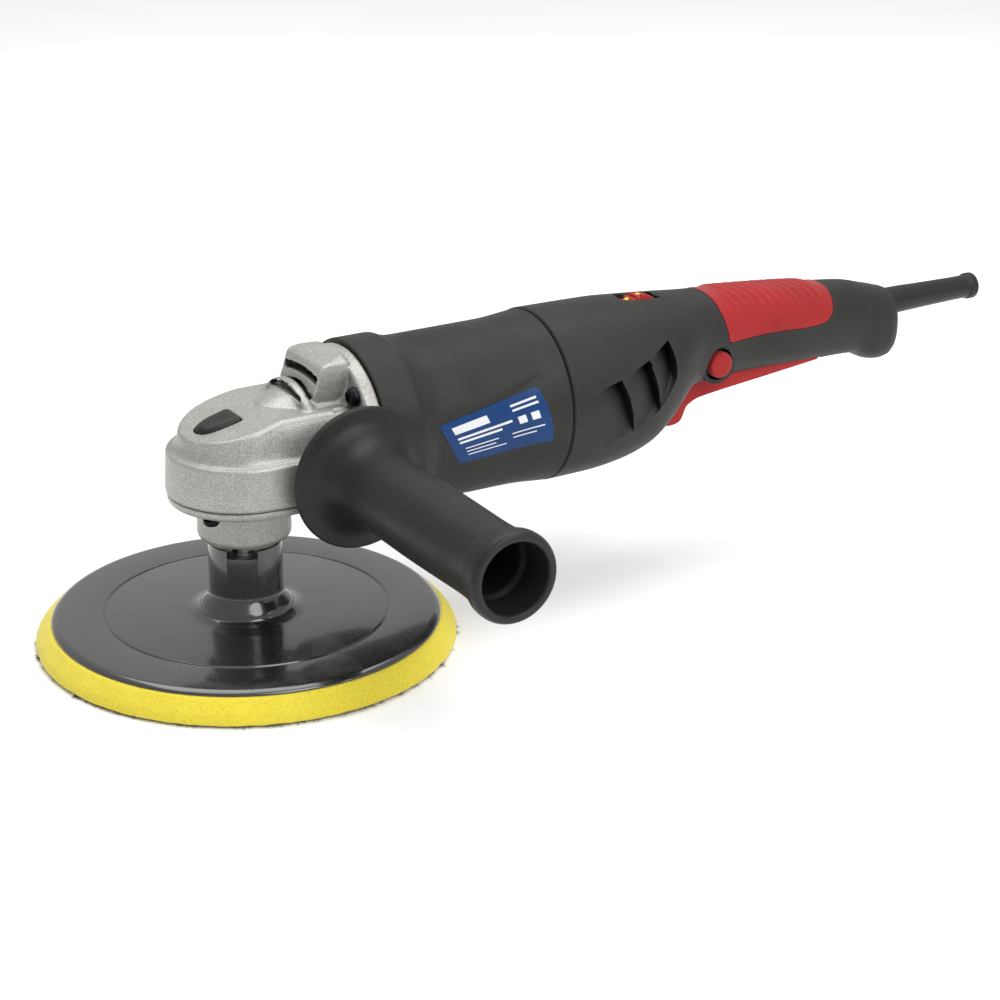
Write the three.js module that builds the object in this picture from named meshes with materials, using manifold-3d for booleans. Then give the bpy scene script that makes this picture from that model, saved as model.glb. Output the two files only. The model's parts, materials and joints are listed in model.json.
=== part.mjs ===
// Rotary polisher with a 180 mm backing pad: every separate piece as its own named mesh.
// Millimetres, +Z up. The origin is on the spindle's axis at the pad's working face.
// +X runs back along the motor to the rear handle, and the side handle points to -Y.

import * as THREE from 'three';
import { mergeVertices } from 'three/addons/utils/BufferGeometryUtils.js';
import Module from 'manifold-3d';

const wasm = await Module();
wasm.setup();

// ---------------------------------------------------------------- driving dimensions

const gap = 0.3;                    // clearance kept between neighbouring pieces

const padRadius = 90;
const hookTop = 2.4;                // hook layer, foam and plate are stacked upwards from z = 0
const foamTop = 10.8;
const plateRadius = 83.1;
const plateTop = 13.2;
const hubRadius = 15.8;
const hubTop = 45;
const insertBore = 7.3;             // M14 thread, drawn as a plain bore

const coverBottom = 46.5;           // bearing cover under the gear housing
const coverFlangeBottom = 64.5;
const coverTop = 68.1;
const collarRadius = 19.9;
const spindleBearing = { inner: 7.5, outer: 16, bottom: 50.5, height: 9 };
const coverScrewSpot = { x: 22.8, y: 17.3 };

const axisHeight = 84.8;            // motor axis above the pad's face
const gearRatio = 4;                // 36 teeth on the spindle gear, 9 on the pinion
const gearTeeth = 36;
const pinionTeeth = gearTeeth / gearRatio;
const gearOuter = 24.6;             // pitch radius at the outer end of the gear's teeth
const gearInner = 19.6;
const gearChamber = 25.7;
const lockPinReach = 14;            // distance of the lock pin from the spindle's axis
const lockStroke = 4;
const lockFloor = 91.5;             // floor of the pocket under the spindle-lock button
const bushTop = 90;
const bushBottom = 82.5;

const skirtStep = 87.3;             // groove round the gear housing
const plateauFront = { x: 7.5, z: 103.7 };
const slopeFoot = { x: -20, z: 96.7 };
const lipFront = 21.5;              // arched lip over the lower exhaust slot
const humpFront = 26.5;             // foot of the steep wall with the upper exhaust slot
const humpHalf = 16;
const flangeFront = 42;             // round flange between gear housing and motor
const flangeRear = 48.8;
const flangeRadius = 37.8;
const motorRimRadius = 38.5;        // front rim of the motor housing stands proud of the flange
const flangeScrewOffset = 23.3;     // sideways and up or down from the motor axis

const motorFront = flangeRear + gap;
const motorRear = 140.4;
const waistRadius = 36.7;
const statorRadius = 33.8;
const stackFront = 78;              // armature and stator laminations, distances along X
const stackRear = 113;
const armatureRadius = 19.6;
const commutatorRadius = 12;
const brushPlace = 128.5;
const rearBearing = { inner: 4, outer: 11, front: 139.5, width: 7 };
const frontBearing = { inner: 5, outer: 15, front: 36.5, width: 9 };

const sideHandle = { x: 34.7, z: 79.5, face: 38.9, length: 124.6, guard: 30.8 };

const handleFront = motorRear + gap;
const handleWall = 3.4;
const triggerWidth = 20;
const triggerPivot = { x: 292, z: 84 };
const lockButton = { x: 231.5, z: 88.8, radius: 6.1 };
const dial = { x: 198, z: 110.6, radius: 12, width: 9 };
const cordExit = { x: 341, z: 96.6, bore: 3.9, length: 56 };
const handleScrewSpots = [
  { x: 166, z: 62 },
  { x: 221, z: 105 },
  { x: 326, z: 85 },
];

// ---------------------------------------------------------------- finishes

const finish = (color, roughness, metalness) =>
  new THREE.MeshStandardMaterial({ color, roughness, metalness, flatShading: true });

const castAluminium = finish(0xbebcb8, 0.5, 0.8);
const steel = finish(0xa4a6a8, 0.3, 1);
const blackSteel = finish(0x26262a, 0.4, 0.8);
const lamination = finish(0x6d6f72, 0.45, 0.9);
const copper = finish(0xb4683a, 0.35, 0.9);
const bronze = finish(0xa98648, 0.4, 0.9);
const carbon = finish(0x2b2b2d, 0.8, 0.1);
const charcoal = finish(0x3e3e3c, 0.6, 0);
const blackGloss = finish(0x1e1e1e, 0.2, 0);
const blackPlastic = finish(0x2c2c2b, 0.5, 0);
const redPlastic = finish(0xb94440, 0.45, 0);
const redRubber = finish(0xac3234, 0.7, 0);
const yellowFoam = finish(0xf3e650, 0.95, 0);
const hooks = finish(0x3a3a3a, 1, 0);
const circuitGreen = finish(0x2f6b45, 0.5, 0);
const amberPlastic = finish(0x8a6a3a, 0.5, 0);

// ---------------------------------------------------------------- solids and booleans

// A closed geometry as a manifold solid: vertices merged, flat triangles dropped, faces outwards.
function toSolid(geometry) {
  const bare = new THREE.BufferGeometry();
  bare.setAttribute('position', geometry.getAttribute('position').clone());
  bare.setIndex(geometry.index ? geometry.index.clone() : null);
  const merged = mergeVertices(bare, 1e-3);
  const index = merged.index.array;
  const position = merged.getAttribute('position');
  const corner = [new THREE.Vector3(), new THREE.Vector3(), new THREE.Vector3()];
  const triangles = [];
  let volume = 0;
  for (let i = 0; i < index.length; i += 3) {
    const [a, b, c] = index.slice(i, i + 3);
    if (a === b || b === c || c === a) continue;
    triangles.push(a, b, c);
    corner.forEach((point, k) => point.fromBufferAttribute(position, index[i + k]));
    volume += corner[0].dot(corner[1].clone().cross(corner[2]));
  }
  if (volume < 0) triangles.reverse();
  return new wasm.Manifold(new wasm.Mesh({
    numProp: 3,
    vertProperties: Float32Array.from(position.array),
    triVerts: Uint32Array.from(triangles),
  }));
}

function toGeometry(solid) {
  const { vertProperties, triVerts } = solid.getMesh();
  const geometry = new THREE.BufferGeometry();
  geometry.setAttribute('position', new THREE.BufferAttribute(Float32Array.from(vertProperties), 3));
  geometry.setIndex([...triVerts]);
  return geometry;
}

const fold = (how) => (first, ...others) =>
  toGeometry(others.reduce((sum, next) => sum[how](toSolid(next)), toSolid(first)));
const join = fold('add');
const cut = fold('subtract');
const common = fold('intersect');

// A body of revolution about Z. The profile is [radius, height] pairs, from the axis at the
// bottom round the outside to the axis at the top, or a closed loop for a ring.
function turned(profile, segments = 28) {
  const points = profile.map(([radius, height]) => new THREE.Vector2(radius, height));
  return new THREE.LatheGeometry(points, segments).rotateX(Math.PI / 2);
}

const rod = (radius, bottom, top, segments = 14) =>
  turned([[0, bottom], [radius, bottom], [radius, top], [0, top]], segments);

const ring = (inner, outer, bottom, top, segments = 22) =>
  turned([[inner, bottom], [outer, bottom], [outer, top], [inner, top], [inner, bottom]], segments);

function box(x0, x1, y0, y1, z0, z1) {
  return new THREE.BoxGeometry(x1 - x0, y1 - y0, z1 - z0)
    .translate((x0 + x1) / 2, (y0 + y1) / 2, (z0 + z1) / 2);
}

// Turns a body built along Z so that it points along +X, +Y or -Y, then moves it.
const alongX = (geometry, y = 0, z = 0) => geometry.rotateY(Math.PI / 2).translate(0, y, z);
const alongY = (geometry, x = 0, z = 0) => geometry.rotateX(-Math.PI / 2).translate(x, 0, z);

const flat = (points) => new THREE.Shape(points.map(([x, y]) => new THREE.Vector2(x, y)));

// A flat outline in X and Y, raised from bottom to top.
const plate = (shape, bottom, top, curveSegments = 10) =>
  new THREE.ExtrudeGeometry(shape, { depth: top - bottom, bevelEnabled: false, curveSegments })
    .translate(0, 0, bottom);

// A side outline in X and Z, spread across from y0 to y1.
const sideways = (shape, y0, y1, curveSegments = 10) =>
  new THREE.ExtrudeGeometry(shape, { depth: y1 - y0, bevelEnabled: false, curveSegments })
    .rotateX(Math.PI / 2).translate(0, y1, 0);

// A skin over rings of equally many points, closed by a flat fan at each end.
function loft(rings) {
  const count = rings[0].length;
  const positions = rings.flat().flatMap((point) => [point.x, point.y, point.z]);
  const index = [];
  for (let k = 0; k + 1 < rings.length; k += 1) {
    for (let i = 0; i < count; i += 1) {
      const a = k * count + i;
      const b = k * count + (i + 1) % count;
      index.push(a, b, b + count, a, b + count, a + count);
    }
  }
  const last = (rings.length - 1) * count;
  for (let i = 1; i + 1 < count; i += 1) {
    index.push(0, i + 1, i, last, last + i, last + i + 1);
  }
  const geometry = new THREE.BufferGeometry();
  geometry.setAttribute('position', new THREE.Float32BufferAttribute(positions, 3));
  geometry.setIndex(index);
  return geometry;
}

// A closed sector between two radii, centred on the angle `middle` and `half` wide each way.
function sector(inner, outer, middle, half) {
  const shape = new THREE.Shape();
  shape.absarc(0, 0, outer, middle - half, middle + half, false);
  shape.absarc(0, 0, inner, middle + half, middle - half, true);
  shape.closePath();
  return shape;
}

// A round wheel with `count` notches, each a share of the pitch wide and `depth` deep.
function notchedDisc(radius, count, depth, share) {
  const points = [];
  for (let i = 0; i < count; i += 1) {
    const start = (2 * Math.PI * i) / count;
    const pitch = (2 * Math.PI) / count;
    const corners = [[radius, 0], [radius, 1 - share], [radius - depth, 1 - share], [radius - depth, 1]];
    corners.forEach(([r, along]) => {
      const angle = start + pitch * along;
      points.push([r * Math.cos(angle), r * Math.sin(angle)]);
    });
  }
  return flat(points);
}

// A compression spring standing on Z from bottom to top.
function coil(radius, wire, bottom, top, turns) {
  class Helix extends THREE.Curve {
    getPoint(t, target = new THREE.Vector3()) {
      const angle = 2 * Math.PI * turns * t;
      const height = bottom + wire + (top - bottom - 2 * wire) * t;
      return target.set(radius * Math.cos(angle), radius * Math.sin(angle), height);
    }
  }
  const section = new THREE.Shape();
  section.absarc(0, 0, wire, 0, 2 * Math.PI, false);
  return new THREE.ExtrudeGeometry(section, {
    steps: turns * 8, extrudePath: new Helix(), curveSegments: 3, bevelEnabled: false,
  });
}

// A slotted machine screw pointing along -Z, with the underside of its head at z = 0.
function screw(shank, length, head, headHeight) {
  const body = turned([
    [0, -length], [shank, -length], [shank, 0], [head, 0],
    [head, headHeight * 0.6], [head * 0.7, headHeight], [0, headHeight],
  ], 10);
  const slot = box(-head * 0.75, head * 0.75, -head * 0.14, head * 0.14,
    headHeight * 0.45, headHeight + 1);
  return cut(body, slot);
}

const polisher = new THREE.Group();
polisher.name = 'rotary_polisher';

function add(parent, name, geometry, material, x = 0, y = 0, z = 0) {
  const mesh = new THREE.Mesh(toGeometry(toSolid(geometry)), material);
  mesh.name = name;
  mesh.position.set(x, y, z);
  parent.add(mesh);
  return mesh;
}

function subgroup(x, y, z) {
  const group = new THREE.Group();
  group.position.set(x, y, z);
  polisher.add(group);
  return group;
}

// ---------------------------------------------------------------- backing pad

const spindleLine = subgroup(0, 0, 0);

add(spindleLine, 'pad_hook_layer', rod(padRadius, 0, hookTop, 48), hooks);

add(spindleLine, 'pad_foam', turned([
  [0, hookTop + gap], [padRadius - 0.5, hookTop + gap], [padRadius - 0.9, hookTop + 1.5],
  [plateRadius, foamTop], [0, foamTop],
], 48), yellowFoam);

const padPlateProfile = [
  [11, foamTop + gap], [plateRadius, foamTop + gap], [plateRadius - 2.4, plateTop],
  [61.4, plateTop], [60.6, plateTop - 0.7], [59.8, plateTop], [21.5, plateTop],
  [20.2, plateTop + 1.6], [19.6, plateTop + 4], [17.4, plateTop + 6.6], [hubRadius, plateTop + 8.4],
  [hubRadius, hubTop], [11, hubTop], [11, foamTop + gap],
];
const hubNotch = (angle) => box(10, 17, -6.5, 6.5, hubTop - 3.6, hubTop + 1).rotateZ(angle);
add(spindleLine, 'pad_plate',
  cut(turned(padPlateProfile, 36), hubNotch(-2.1), hubNotch(-2.1 + Math.PI)), blackGloss);

add(spindleLine, 'pad_thread_insert', ring(insertBore, 11 - gap, 20, hubTop - 4), steel);

// ---------------------------------------------------------------- spindle and its bearings

const journal = spindleBearing.inner;
const bearingTop = spindleBearing.bottom + spindleBearing.height;

add(spindleLine, 'spindle', turned([
  [0, 24], [6.2, 24], [insertBore - gap, 25], [insertBore - gap, 46.2], [10, 46.2],
  [10, spindleBearing.bottom - gap], [journal - gap, spindleBearing.bottom - gap],
  [journal - gap, bearingTop + 1.6], [6.5, bearingTop + 1.6], [6.5, 80.4], [5, 81.9],
  [5, bushTop - 1.2], [0, bushTop - 1.2],
], 20), steel);

add(spindleLine, 'spindle_bearing_inner',
  ring(journal, 9.8, spindleBearing.bottom, bearingTop), steel);
add(polisher, 'spindle_bearing_outer',
  ring(10.4, spindleBearing.outer, spindleBearing.bottom, bearingTop), steel);
add(polisher, 'spindle_bush', ring(5 + gap / 4, 7, bushBottom, bushTop), bronze);

// The circlip that holds the gear down, open at one side.
add(spindleLine, 'gear_circlip', plate(sector(6.5 + gap, 9, 0, Math.PI * 0.88), 77.2, 78.6, 8), blackSteel);

// ---------------------------------------------------------------- bevel gears

// A tooth standing on the pitch cone whose half angle from the shaft is `cone`. Its section is
// a trapezoid that shrinks towards the apex, as bevel teeth do. The shaft is Z, apex at 0,
// and the teeth lie on the +X side below the apex.
function bevelTooth(cone, outer, inner, { rootHalf, tipHalf, addendum, dedendum }) {
  const section = (radius) => {
    const k = radius / outer;
    const outwards = new THREE.Vector3(Math.sin(cone), 0, -Math.cos(cone));
    const away = new THREE.Vector3(Math.cos(cone), 0, Math.sin(cone));
    const foot = outwards.clone().multiplyScalar(radius / Math.sin(cone));
    const corners = [
      [-rootHalf, -dedendum], [rootHalf, -dedendum], [tipHalf, addendum], [-tipHalf, addendum],
    ];
    return corners.map(([across, up]) =>
      foot.clone().addScaledVector(away, up * k).add(new THREE.Vector3(0, across * k, 0)));
  };
  return loft([section(inner), section(outer)]);
}

function withTeeth(blank, tooth, count, start) {
  const teeth = Array.from({ length: count }, (_, i) =>
    tooth.clone().rotateZ(start + (2 * Math.PI * i) / count));
  return join(blank, ...teeth);
}

const gearCone = Math.atan(gearRatio);
const pinionCone = Math.PI / 2 - gearCone;
const gearTooth = bevelTooth(gearCone, gearOuter, gearInner, {
  rootHalf: 1.25, tipHalf: 0.5, addendum: 0.85, dedendum: 1.9,
});
const gearBlank = turned([
  [6.5 + gap, -21], [11, -21], [11, -14], [24.3, -14], [24.3, -7.75],
  [19.3, -6.5], [18, -8], [6.5 + gap, -8], [6.5 + gap, -21],
], 36);
const lockHoles = Array.from({ length: 4 }, (_, i) =>
  rod(2.8, -15, -7, 8).translate(-lockPinReach, 0, 0).rotateZ((Math.PI / 2) * i));
add(spindleLine, 'bevel_gear',
  cut(withTeeth(gearBlank, gearTooth, gearTeeth, 0), ...lockHoles),
  steel, 0, 0, axisHeight);

const motorLine = subgroup(0, 0, axisHeight);

// The pinion shares the gear's apex. Its lowest place is a gap, which the gear's first tooth fills.
const pinionTooth = bevelTooth(pinionCone, gearOuter / gearRatio, gearInner / gearRatio, {
  rootHalf: 0.85, tipHalf: 0.42, addendum: 1.15, dedendum: 1.9,
});
const pinionBlank = turned([
  [2.6 + gap, -30], [6.2, -30], [6.2, -25.6], [4.9, -24.6], [3.7, -19.4], [2.6 + gap, -19.4],
  [2.6 + gap, -30],
], 18);
add(motorLine, 'bevel_pinion',
  withTeeth(pinionBlank, pinionTooth, pinionTeeth, 0).rotateY(-Math.PI / 2), steel);

// ---------------------------------------------------------------- bearing cover

// The plan outline that the cover and the gear housing's skirt share: round at the front,
// with sides that widen a little towards the motor.
function skirtOutline(radius, rearX, rearHalf) {
  const shape = new THREE.Shape();
  shape.moveTo(rearX, -rearHalf);
  shape.lineTo(rearX, rearHalf);
  shape.lineTo(0, radius);
  shape.absarc(0, 0, radius, Math.PI / 2, 1.5 * Math.PI, false);
  return shape;
}

const collarNotch = (angle) =>
  box(16, 22, -4, 4, coverBottom - 1, coverBottom + 1.3).rotateZ(angle);
const coverCollar = turned([
  [11, coverBottom], [collarRadius - 1.8, coverBottom], [collarRadius, coverBottom + 2.2],
  [collarRadius, coverFlangeBottom + 1], [11, coverFlangeBottom + 1], [11, coverBottom],
], 32);
const coverScrewSpots = [-1, 1].flatMap((sx) => [-1, 1].map((sy) =>
  [sx * coverScrewSpot.x, sy * coverScrewSpot.y]));
const coverScrewHoles = coverScrewSpots.map(([x, y]) =>
  rod(2.2, coverFlangeBottom - 1, coverTop + 1, 8).translate(x, y, 0));
add(polisher, 'bearing_cover', cut(
  join(coverCollar, plate(skirtOutline(31.8, 33, 32.8), coverFlangeBottom, coverTop, 10)),
  rod(spindleBearing.outer + gap, spindleBearing.bottom - gap, coverTop + 1, 24),
  rod(11, coverBottom - 1, coverTop, 24),
  ...Array.from({ length: 6 }, (_, i) => collarNotch(-1.1 + (i * Math.PI) / 3)),
  ...coverScrewHoles,
), castAluminium);

coverScrewSpots.forEach(([x, y], i) => {
  const mesh = add(polisher, `cover_screw_${i + 1}`, screw(1.9, 18, 3.5, 2.6), blackSteel,
    x, y, coverFlangeBottom - gap);
  mesh.rotation.x = Math.PI;
});

// ---------------------------------------------------------------- gear housing

const skirtBottom = coverTop + gap;

// The upper body narrows from the step upwards and is cut off by the sloping side profile.
function upperBody() {
  const ringAt = (height, radius, rearHalf) => {
    const points = [];
    for (let i = 0; i <= 14; i += 1) {
      const angle = Math.PI / 2 + (Math.PI * i) / 14;
      points.push(new THREE.Vector3(radius * Math.cos(angle), radius * Math.sin(angle), height));
    }
    points.push(new THREE.Vector3(flangeFront + 0.5, -rearHalf, height));
    points.push(new THREE.Vector3(flangeFront + 0.5, rearHalf, height));
    return points;
  };
  const rings = [
    ringAt(skirtStep - 1, 30.6, 33), ringAt(88.8, 28, 31), ringAt(93, 26.8, 29.5),
    ringAt(97, 25.8, 27), ringAt(101, 24.4, 25), ringAt(106, 21.8, 20.5),
  ];
  const side = flat([
    [-40, 60], [60, 60], [60, plateauFront.z], [plateauFront.x, plateauFront.z],
    [slopeFoot.x, slopeFoot.z], [-24.5, 94.2], [-40, 80],
  ]);
  return common(loft(rings), sideways(side, -40, 40));
}

// The round neck on the motor's axis, with a crowned ramp in front of its arched lip.
function neck() {
  const cone = alongX(turned([
    [0, plateauFront.x], [18.9, plateauFront.x], [23.9, lipFront], [27.4, lipFront], [27.4, 23.8],
    [26.4, 25], [26.4, 37], [29, 40], [36.4, flangeFront + 1], [0, flangeFront + 1],
  ], 36), 0, axisHeight);
  const side = flat([
    [-10, skirtBottom], [33.3, skirtBottom], [34.5, 40], [60, 40], [60, 130], [-10, 130],
  ]);
  return common(cone, sideways(side, -45, 45));
}

// The flat-sided hump over the neck, whose steep front wall carries the upper slot.
function hump() {
  const side = flat([
    [humpFront, 92], [humpFront, 110], [29.4, 119.4], [31, 120.8], [flangeFront + 1, 123.2],
    [flangeFront + 1, 92],
  ]);
  return common(sideways(side, -humpHalf, humpHalf),
    alongX(rod(flangeRadius + 0.9, 8, flangeFront + 1, 36), 0, axisHeight));
}

const flange = alongX(turned([
  [0, flangeFront], [flangeRadius - 1, flangeFront], [flangeRadius, flangeFront + 1],
  [flangeRadius, flangeRear], [0, flangeRear],
], 36), 0, axisHeight);

const sideBoss = alongY(turned([
  [0, -sideHandle.face + gap], [12.5, -sideHandle.face + gap], [15, -28], [15, 28],
  [12.5, sideHandle.face], [0, sideHandle.face],
], 20), sideHandle.x, sideHandle.z);

const corners = [-1, 1].flatMap((sy) => [-1, 1].map((sz) =>
  [sy * flangeScrewOffset, axisHeight + sz * flangeScrewOffset]));

const screwPocket = ([y, z]) => alongX(rod(5.2, 22, flangeFront, 12), y, z);
const screwHole = ([y, z], from, to) => alongX(rod(2.4, from, to, 8), y, z);

const handleThread = (side) =>
  alongY(rod(4.3, 0, 15, 12).translate(0, 0, side > 0 ? 24 : -39), sideHandle.x, sideHandle.z);

// A slot in the steep wall and an arched one under the lip lead the motor's cooling air out.
const wallSlot = box(24, 32, -14.8, 14.8, 113.4, 116.6);
const lipSlot = common(
  box(19, 34, -14, 14, 100, 115), alongX(ring(23.9, 26.1, 19, 34, 36), 0, axisHeight),
);

// Plan of the spindle-lock button: wide at the rear, narrow and round at the front.
function lockOutline(inset) {
  const shape = new THREE.Shape();
  shape.moveTo(-2.6 - inset, -7.6 + inset);
  shape.quadraticCurveTo(-1.4 - inset, 0, -2.6 - inset, 7.6 - inset);
  shape.quadraticCurveTo(-12, 7.6 - inset, -19.6 + inset, 4.4 - inset);
  shape.quadraticCurveTo(-22.6 + inset, 0, -19.6 + inset, -4.4 + inset);
  shape.quadraticCurveTo(-12, -7.6 + inset, -2.6 - inset, -7.6 + inset);
  return shape;
}

const chamberTop = 88;
const gearChamberHollow = cut(
  rod(gearChamber, skirtBottom - 1, chamberTop, 28),
  rod(9.9, bushBottom - gap, chamberTop + 1, 20),
);
const shaftPassage = join(
  alongX(rod(9.6, 10, 40, 18), 0, axisHeight),
  alongX(rod(frontBearing.outer + gap, frontBearing.front - gap, 60, 24), 0, axisHeight),
  alongX(rod(30, 46, 60, 28), 0, axisHeight),
);
const airDuct = common(
  box(30.8, 60, -13, 13, 104, 117.6),
  alongX(rod(34.3, 10, 60, 28), 0, axisHeight),
);

add(polisher, 'gear_housing', cut(
  join(
    plate(skirtOutline(32.3, flangeFront, 34.4), skirtBottom, skirtStep, 10),
    upperBody(), neck(), hump(), flange, sideBoss,
  ),
  box(-40, 33.3, -45, 45, 40, skirtBottom),
  gearChamberHollow, shaftPassage, airDuct,
  rod(7 + gap, bushBottom - 1, bushTop + gap, 18),
  wallSlot, lipSlot,
  plate(lockOutline(0), lockFloor, 115, 3),
  rod(2.6, 80, 108, 10).translate(-lockPinReach, 0, 0),
  handleThread(-1), handleThread(1),
  ...corners.flatMap((spot) => [screwPocket(spot), screwHole(spot, flangeFront - 1, 60)]),
  ...coverScrewSpots.map(([x, y]) => rod(2.2, skirtBottom - 1, 83.5, 8).translate(x, y, 0)),
), castAluminium);

// ---------------------------------------------------------------- spindle lock

const buttonBottom = lockFloor + lockStroke + gap;
const buttonTop = flat([
  [-30, 90], [0, 90], [0, 103.5], [-3.4, 102.9], [-20, 98.6], [-30, 95.8],
]);
add(polisher, 'spindle_lock_button', common(
  plate(lockOutline(0.5), buttonBottom, 115, 3), sideways(buttonTop, -10, 10),
), blackPlastic);
add(polisher, 'spindle_lock_pin', rod(2.2, 78, buttonBottom - gap, 10), steel, -lockPinReach);
add(polisher, 'spindle_lock_spring', coil(3.6, 0.45, lockFloor + 0.2, buttonBottom - 0.2, 2), steel,
  -lockPinReach);

// ---------------------------------------------------------------- side handle

const grip = new THREE.Group();
grip.position.set(sideHandle.x, -sideHandle.face, sideHandle.z);
grip.rotation.x = Math.PI / 2;
polisher.add(grip);

const tubeRadius = 16.2;
const endRadius = 18.8;
const handBore = 14.6;
add(grip, 'side_handle_grip', turned([
  [4.6, 0], [sideHandle.guard - 1, 0], [sideHandle.guard, 1], [sideHandle.guard, 3],
  [sideHandle.guard - 2, 3.4], [24, 4.2], [19.5, 7], [16.6, 12], [tubeRadius, 20],
  [tubeRadius + 0.6, 60], [tubeRadius, 102], [17, 112], [endRadius, 117.5], [endRadius, 122.5],
  [endRadius - 1.6, sideHandle.length], [handBore + 0.6, sideHandle.length], [handBore, 124],
  [handBore, 108], [handBore - 1.8, 106], [handBore - 3, 30], [4.6, 30], [4.6, 0],
], 24), blackPlastic);
add(grip, 'side_handle_bolt', turned([
  [0, -13], [3.4, -13], [4, -12], [4, 30.3], [7, 30.3], [7, 35.5], [0, 35.5],
], 12), steel);

// ---------------------------------------------------------------- motor housing

// Everything here is built along Z and turned to lie along the motor's axis.
const onMotor = (geometry) => geometry.rotateY(Math.PI / 2);
const screwBoss = ([y, z], from, to, radius) =>
  rod(radius, from, to, 10).translate(-(z - axisHeight), y, 0);

const motorTube = turned([
  [statorRadius + gap, motorFront], [motorRimRadius, motorFront], [motorRimRadius, 66],
  [37.9, 70.5], [waistRadius, 75], [waistRadius + 0.4, 125], [motorRimRadius, motorRear],
  [statorRadius + gap, motorRear], [statorRadius + gap, motorFront],
], 36);
const rearSpider = cut(
  join(ring(11 + gap, 34.6, 136.4, motorRear, 36), ring(11 + gap, 13.8, 136.4, 148, 18)),
  ...[0, 1, 2, 3].map((i) =>
    plate(sector(18, 30, Math.PI / 4 + (i * Math.PI) / 2, 0.42), 130, 145, 2)),
);
const spiderLip = ring(6, 11.6, 136.4, rearBearing.front - gap, 18);
const bossLength = 66;
add(motorLine, 'motor_housing', onMotor(cut(
  join(motorTube, rearSpider, spiderLip,
    ...corners.map((spot) => screwBoss(spot, motorFront, bossLength, 4.8))),
  ...corners.map((spot) => screwBoss(spot, motorFront - 1, 64.6, 2.3)),
)), charcoal);

corners.forEach(([y, z], i) => {
  const mesh = add(polisher, `housing_screw_${i + 1}`, screw(2, 22, 4.1, 3.6), blackSteel,
    flangeFront - gap, y, z);
  mesh.rotation.y = -Math.PI / 2;
});

// ---------------------------------------------------------------- motor

add(motorLine, 'fan_baffle', onMotor(ring(22, 33, 67.4, 69.4, 24)), charcoal);

const poleHalf = 0.62;
const coilHalf = 1.08;
const poles = [0, Math.PI].map((angle) =>
  plate(sector(armatureRadius + 0.9, 28, angle, poleHalf), stackFront, stackRear, 3));
add(motorLine, 'stator_core',
  onMotor(join(ring(27.2, statorRadius, stackFront, stackRear, 28), ...poles)), lamination);

const fieldCoil = (angle) => onMotor(cut(
  plate(sector(armatureRadius + 1.6, 26.8, angle, coilHalf), stackFront - 7, stackRear + 7, 4),
  plate(sector(armatureRadius, 28, angle, poleHalf + 0.03), stackFront - 0.5, stackRear + 0.5, 3),
));
add(motorLine, 'field_coil_upper', fieldCoil(Math.PI), copper);
add(motorLine, 'field_coil_lower', fieldCoil(0), copper);

const shaftRadius = frontBearing.inner - gap;
add(motorLine, 'armature_shaft', onMotor(turned([
  [0, 18], [2.6, 18], [2.6, 30 + gap], [shaftRadius, 30 + gap], [shaftRadius, 137.5],
  [rearBearing.inner - gap, 137.5], [rearBearing.inner - gap, 147.6], [0, 147.6],
], 14)), steel);
add(motorLine, 'front_bearing', onMotor(ring(frontBearing.inner, frontBearing.outer,
  frontBearing.front, frontBearing.front + frontBearing.width)), steel);
add(motorLine, 'rear_bearing', onMotor(ring(rearBearing.inner, rearBearing.outer,
  rearBearing.front, rearBearing.front + rearBearing.width)), steel);

const fanBlade = (i) =>
  box(8, 26.8, -0.8, 0.8, 52, 61).rotateZ((2 * Math.PI * i) / 11);
add(motorLine, 'cooling_fan', onMotor(join(
  ring(shaftRadius + gap, 9, 51, 66, 16), ring(8, 27.2, 60, 61.8, 24),
  ...Array.from({ length: 11 }, (_, i) => fanBlade(i)),
)), blackPlastic);

const borehole = (radius, from, to) => rod(radius, from, to);
add(motorLine, 'armature_core', onMotor(cut(
  plate(notchedDisc(armatureRadius, 12, 2.2, 0.22), stackFront + 0.5, stackRear - 0.5),
  borehole(shaftRadius + gap, 60, 140),
)), lamination);
const endTurns = (from, to) => onMotor(turned([
  [shaftRadius + gap, from], [15, from], [17.6, from + 2], [17.6, to - 2], [15, to],
  [shaftRadius + gap, to], [shaftRadius + gap, from],
], 18));
add(motorLine, 'armature_winding_front', endTurns(stackFront - 7.5, stackFront + 0.2), copper);
add(motorLine, 'armature_winding_rear', endTurns(stackRear - 0.2, stackRear + 7.5), copper);
add(motorLine, 'commutator', onMotor(cut(
  plate(notchedDisc(commutatorRadius, 24, 0.6, 0.2), stackRear + 8, stackRear + 21.5),
  borehole(shaftRadius + gap, 60, 140),
)), copper);

for (const [side, sign] of [['left', -1], ['right', 1]]) {
  const across = (x0, x1, inner, outer, half) =>
    box(x0, x1, Math.min(sign * inner, sign * outer), Math.max(sign * inner, sign * outer),
      -half, half);
  add(motorLine, `brush_holder_${side}`, cut(
    across(brushPlace - 5, brushPlace + 5, 14, 33, 6.5),
    across(brushPlace - 3.3, brushPlace + 3.3, 13, 34, 4.6),
  ), bronze);
  add(motorLine, `carbon_brush_${side}`,
    across(brushPlace - 3, brushPlace + 3, commutatorRadius + gap, 28, 4.2), carbon);
}

// ---------------------------------------------------------------- rear handle

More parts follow.
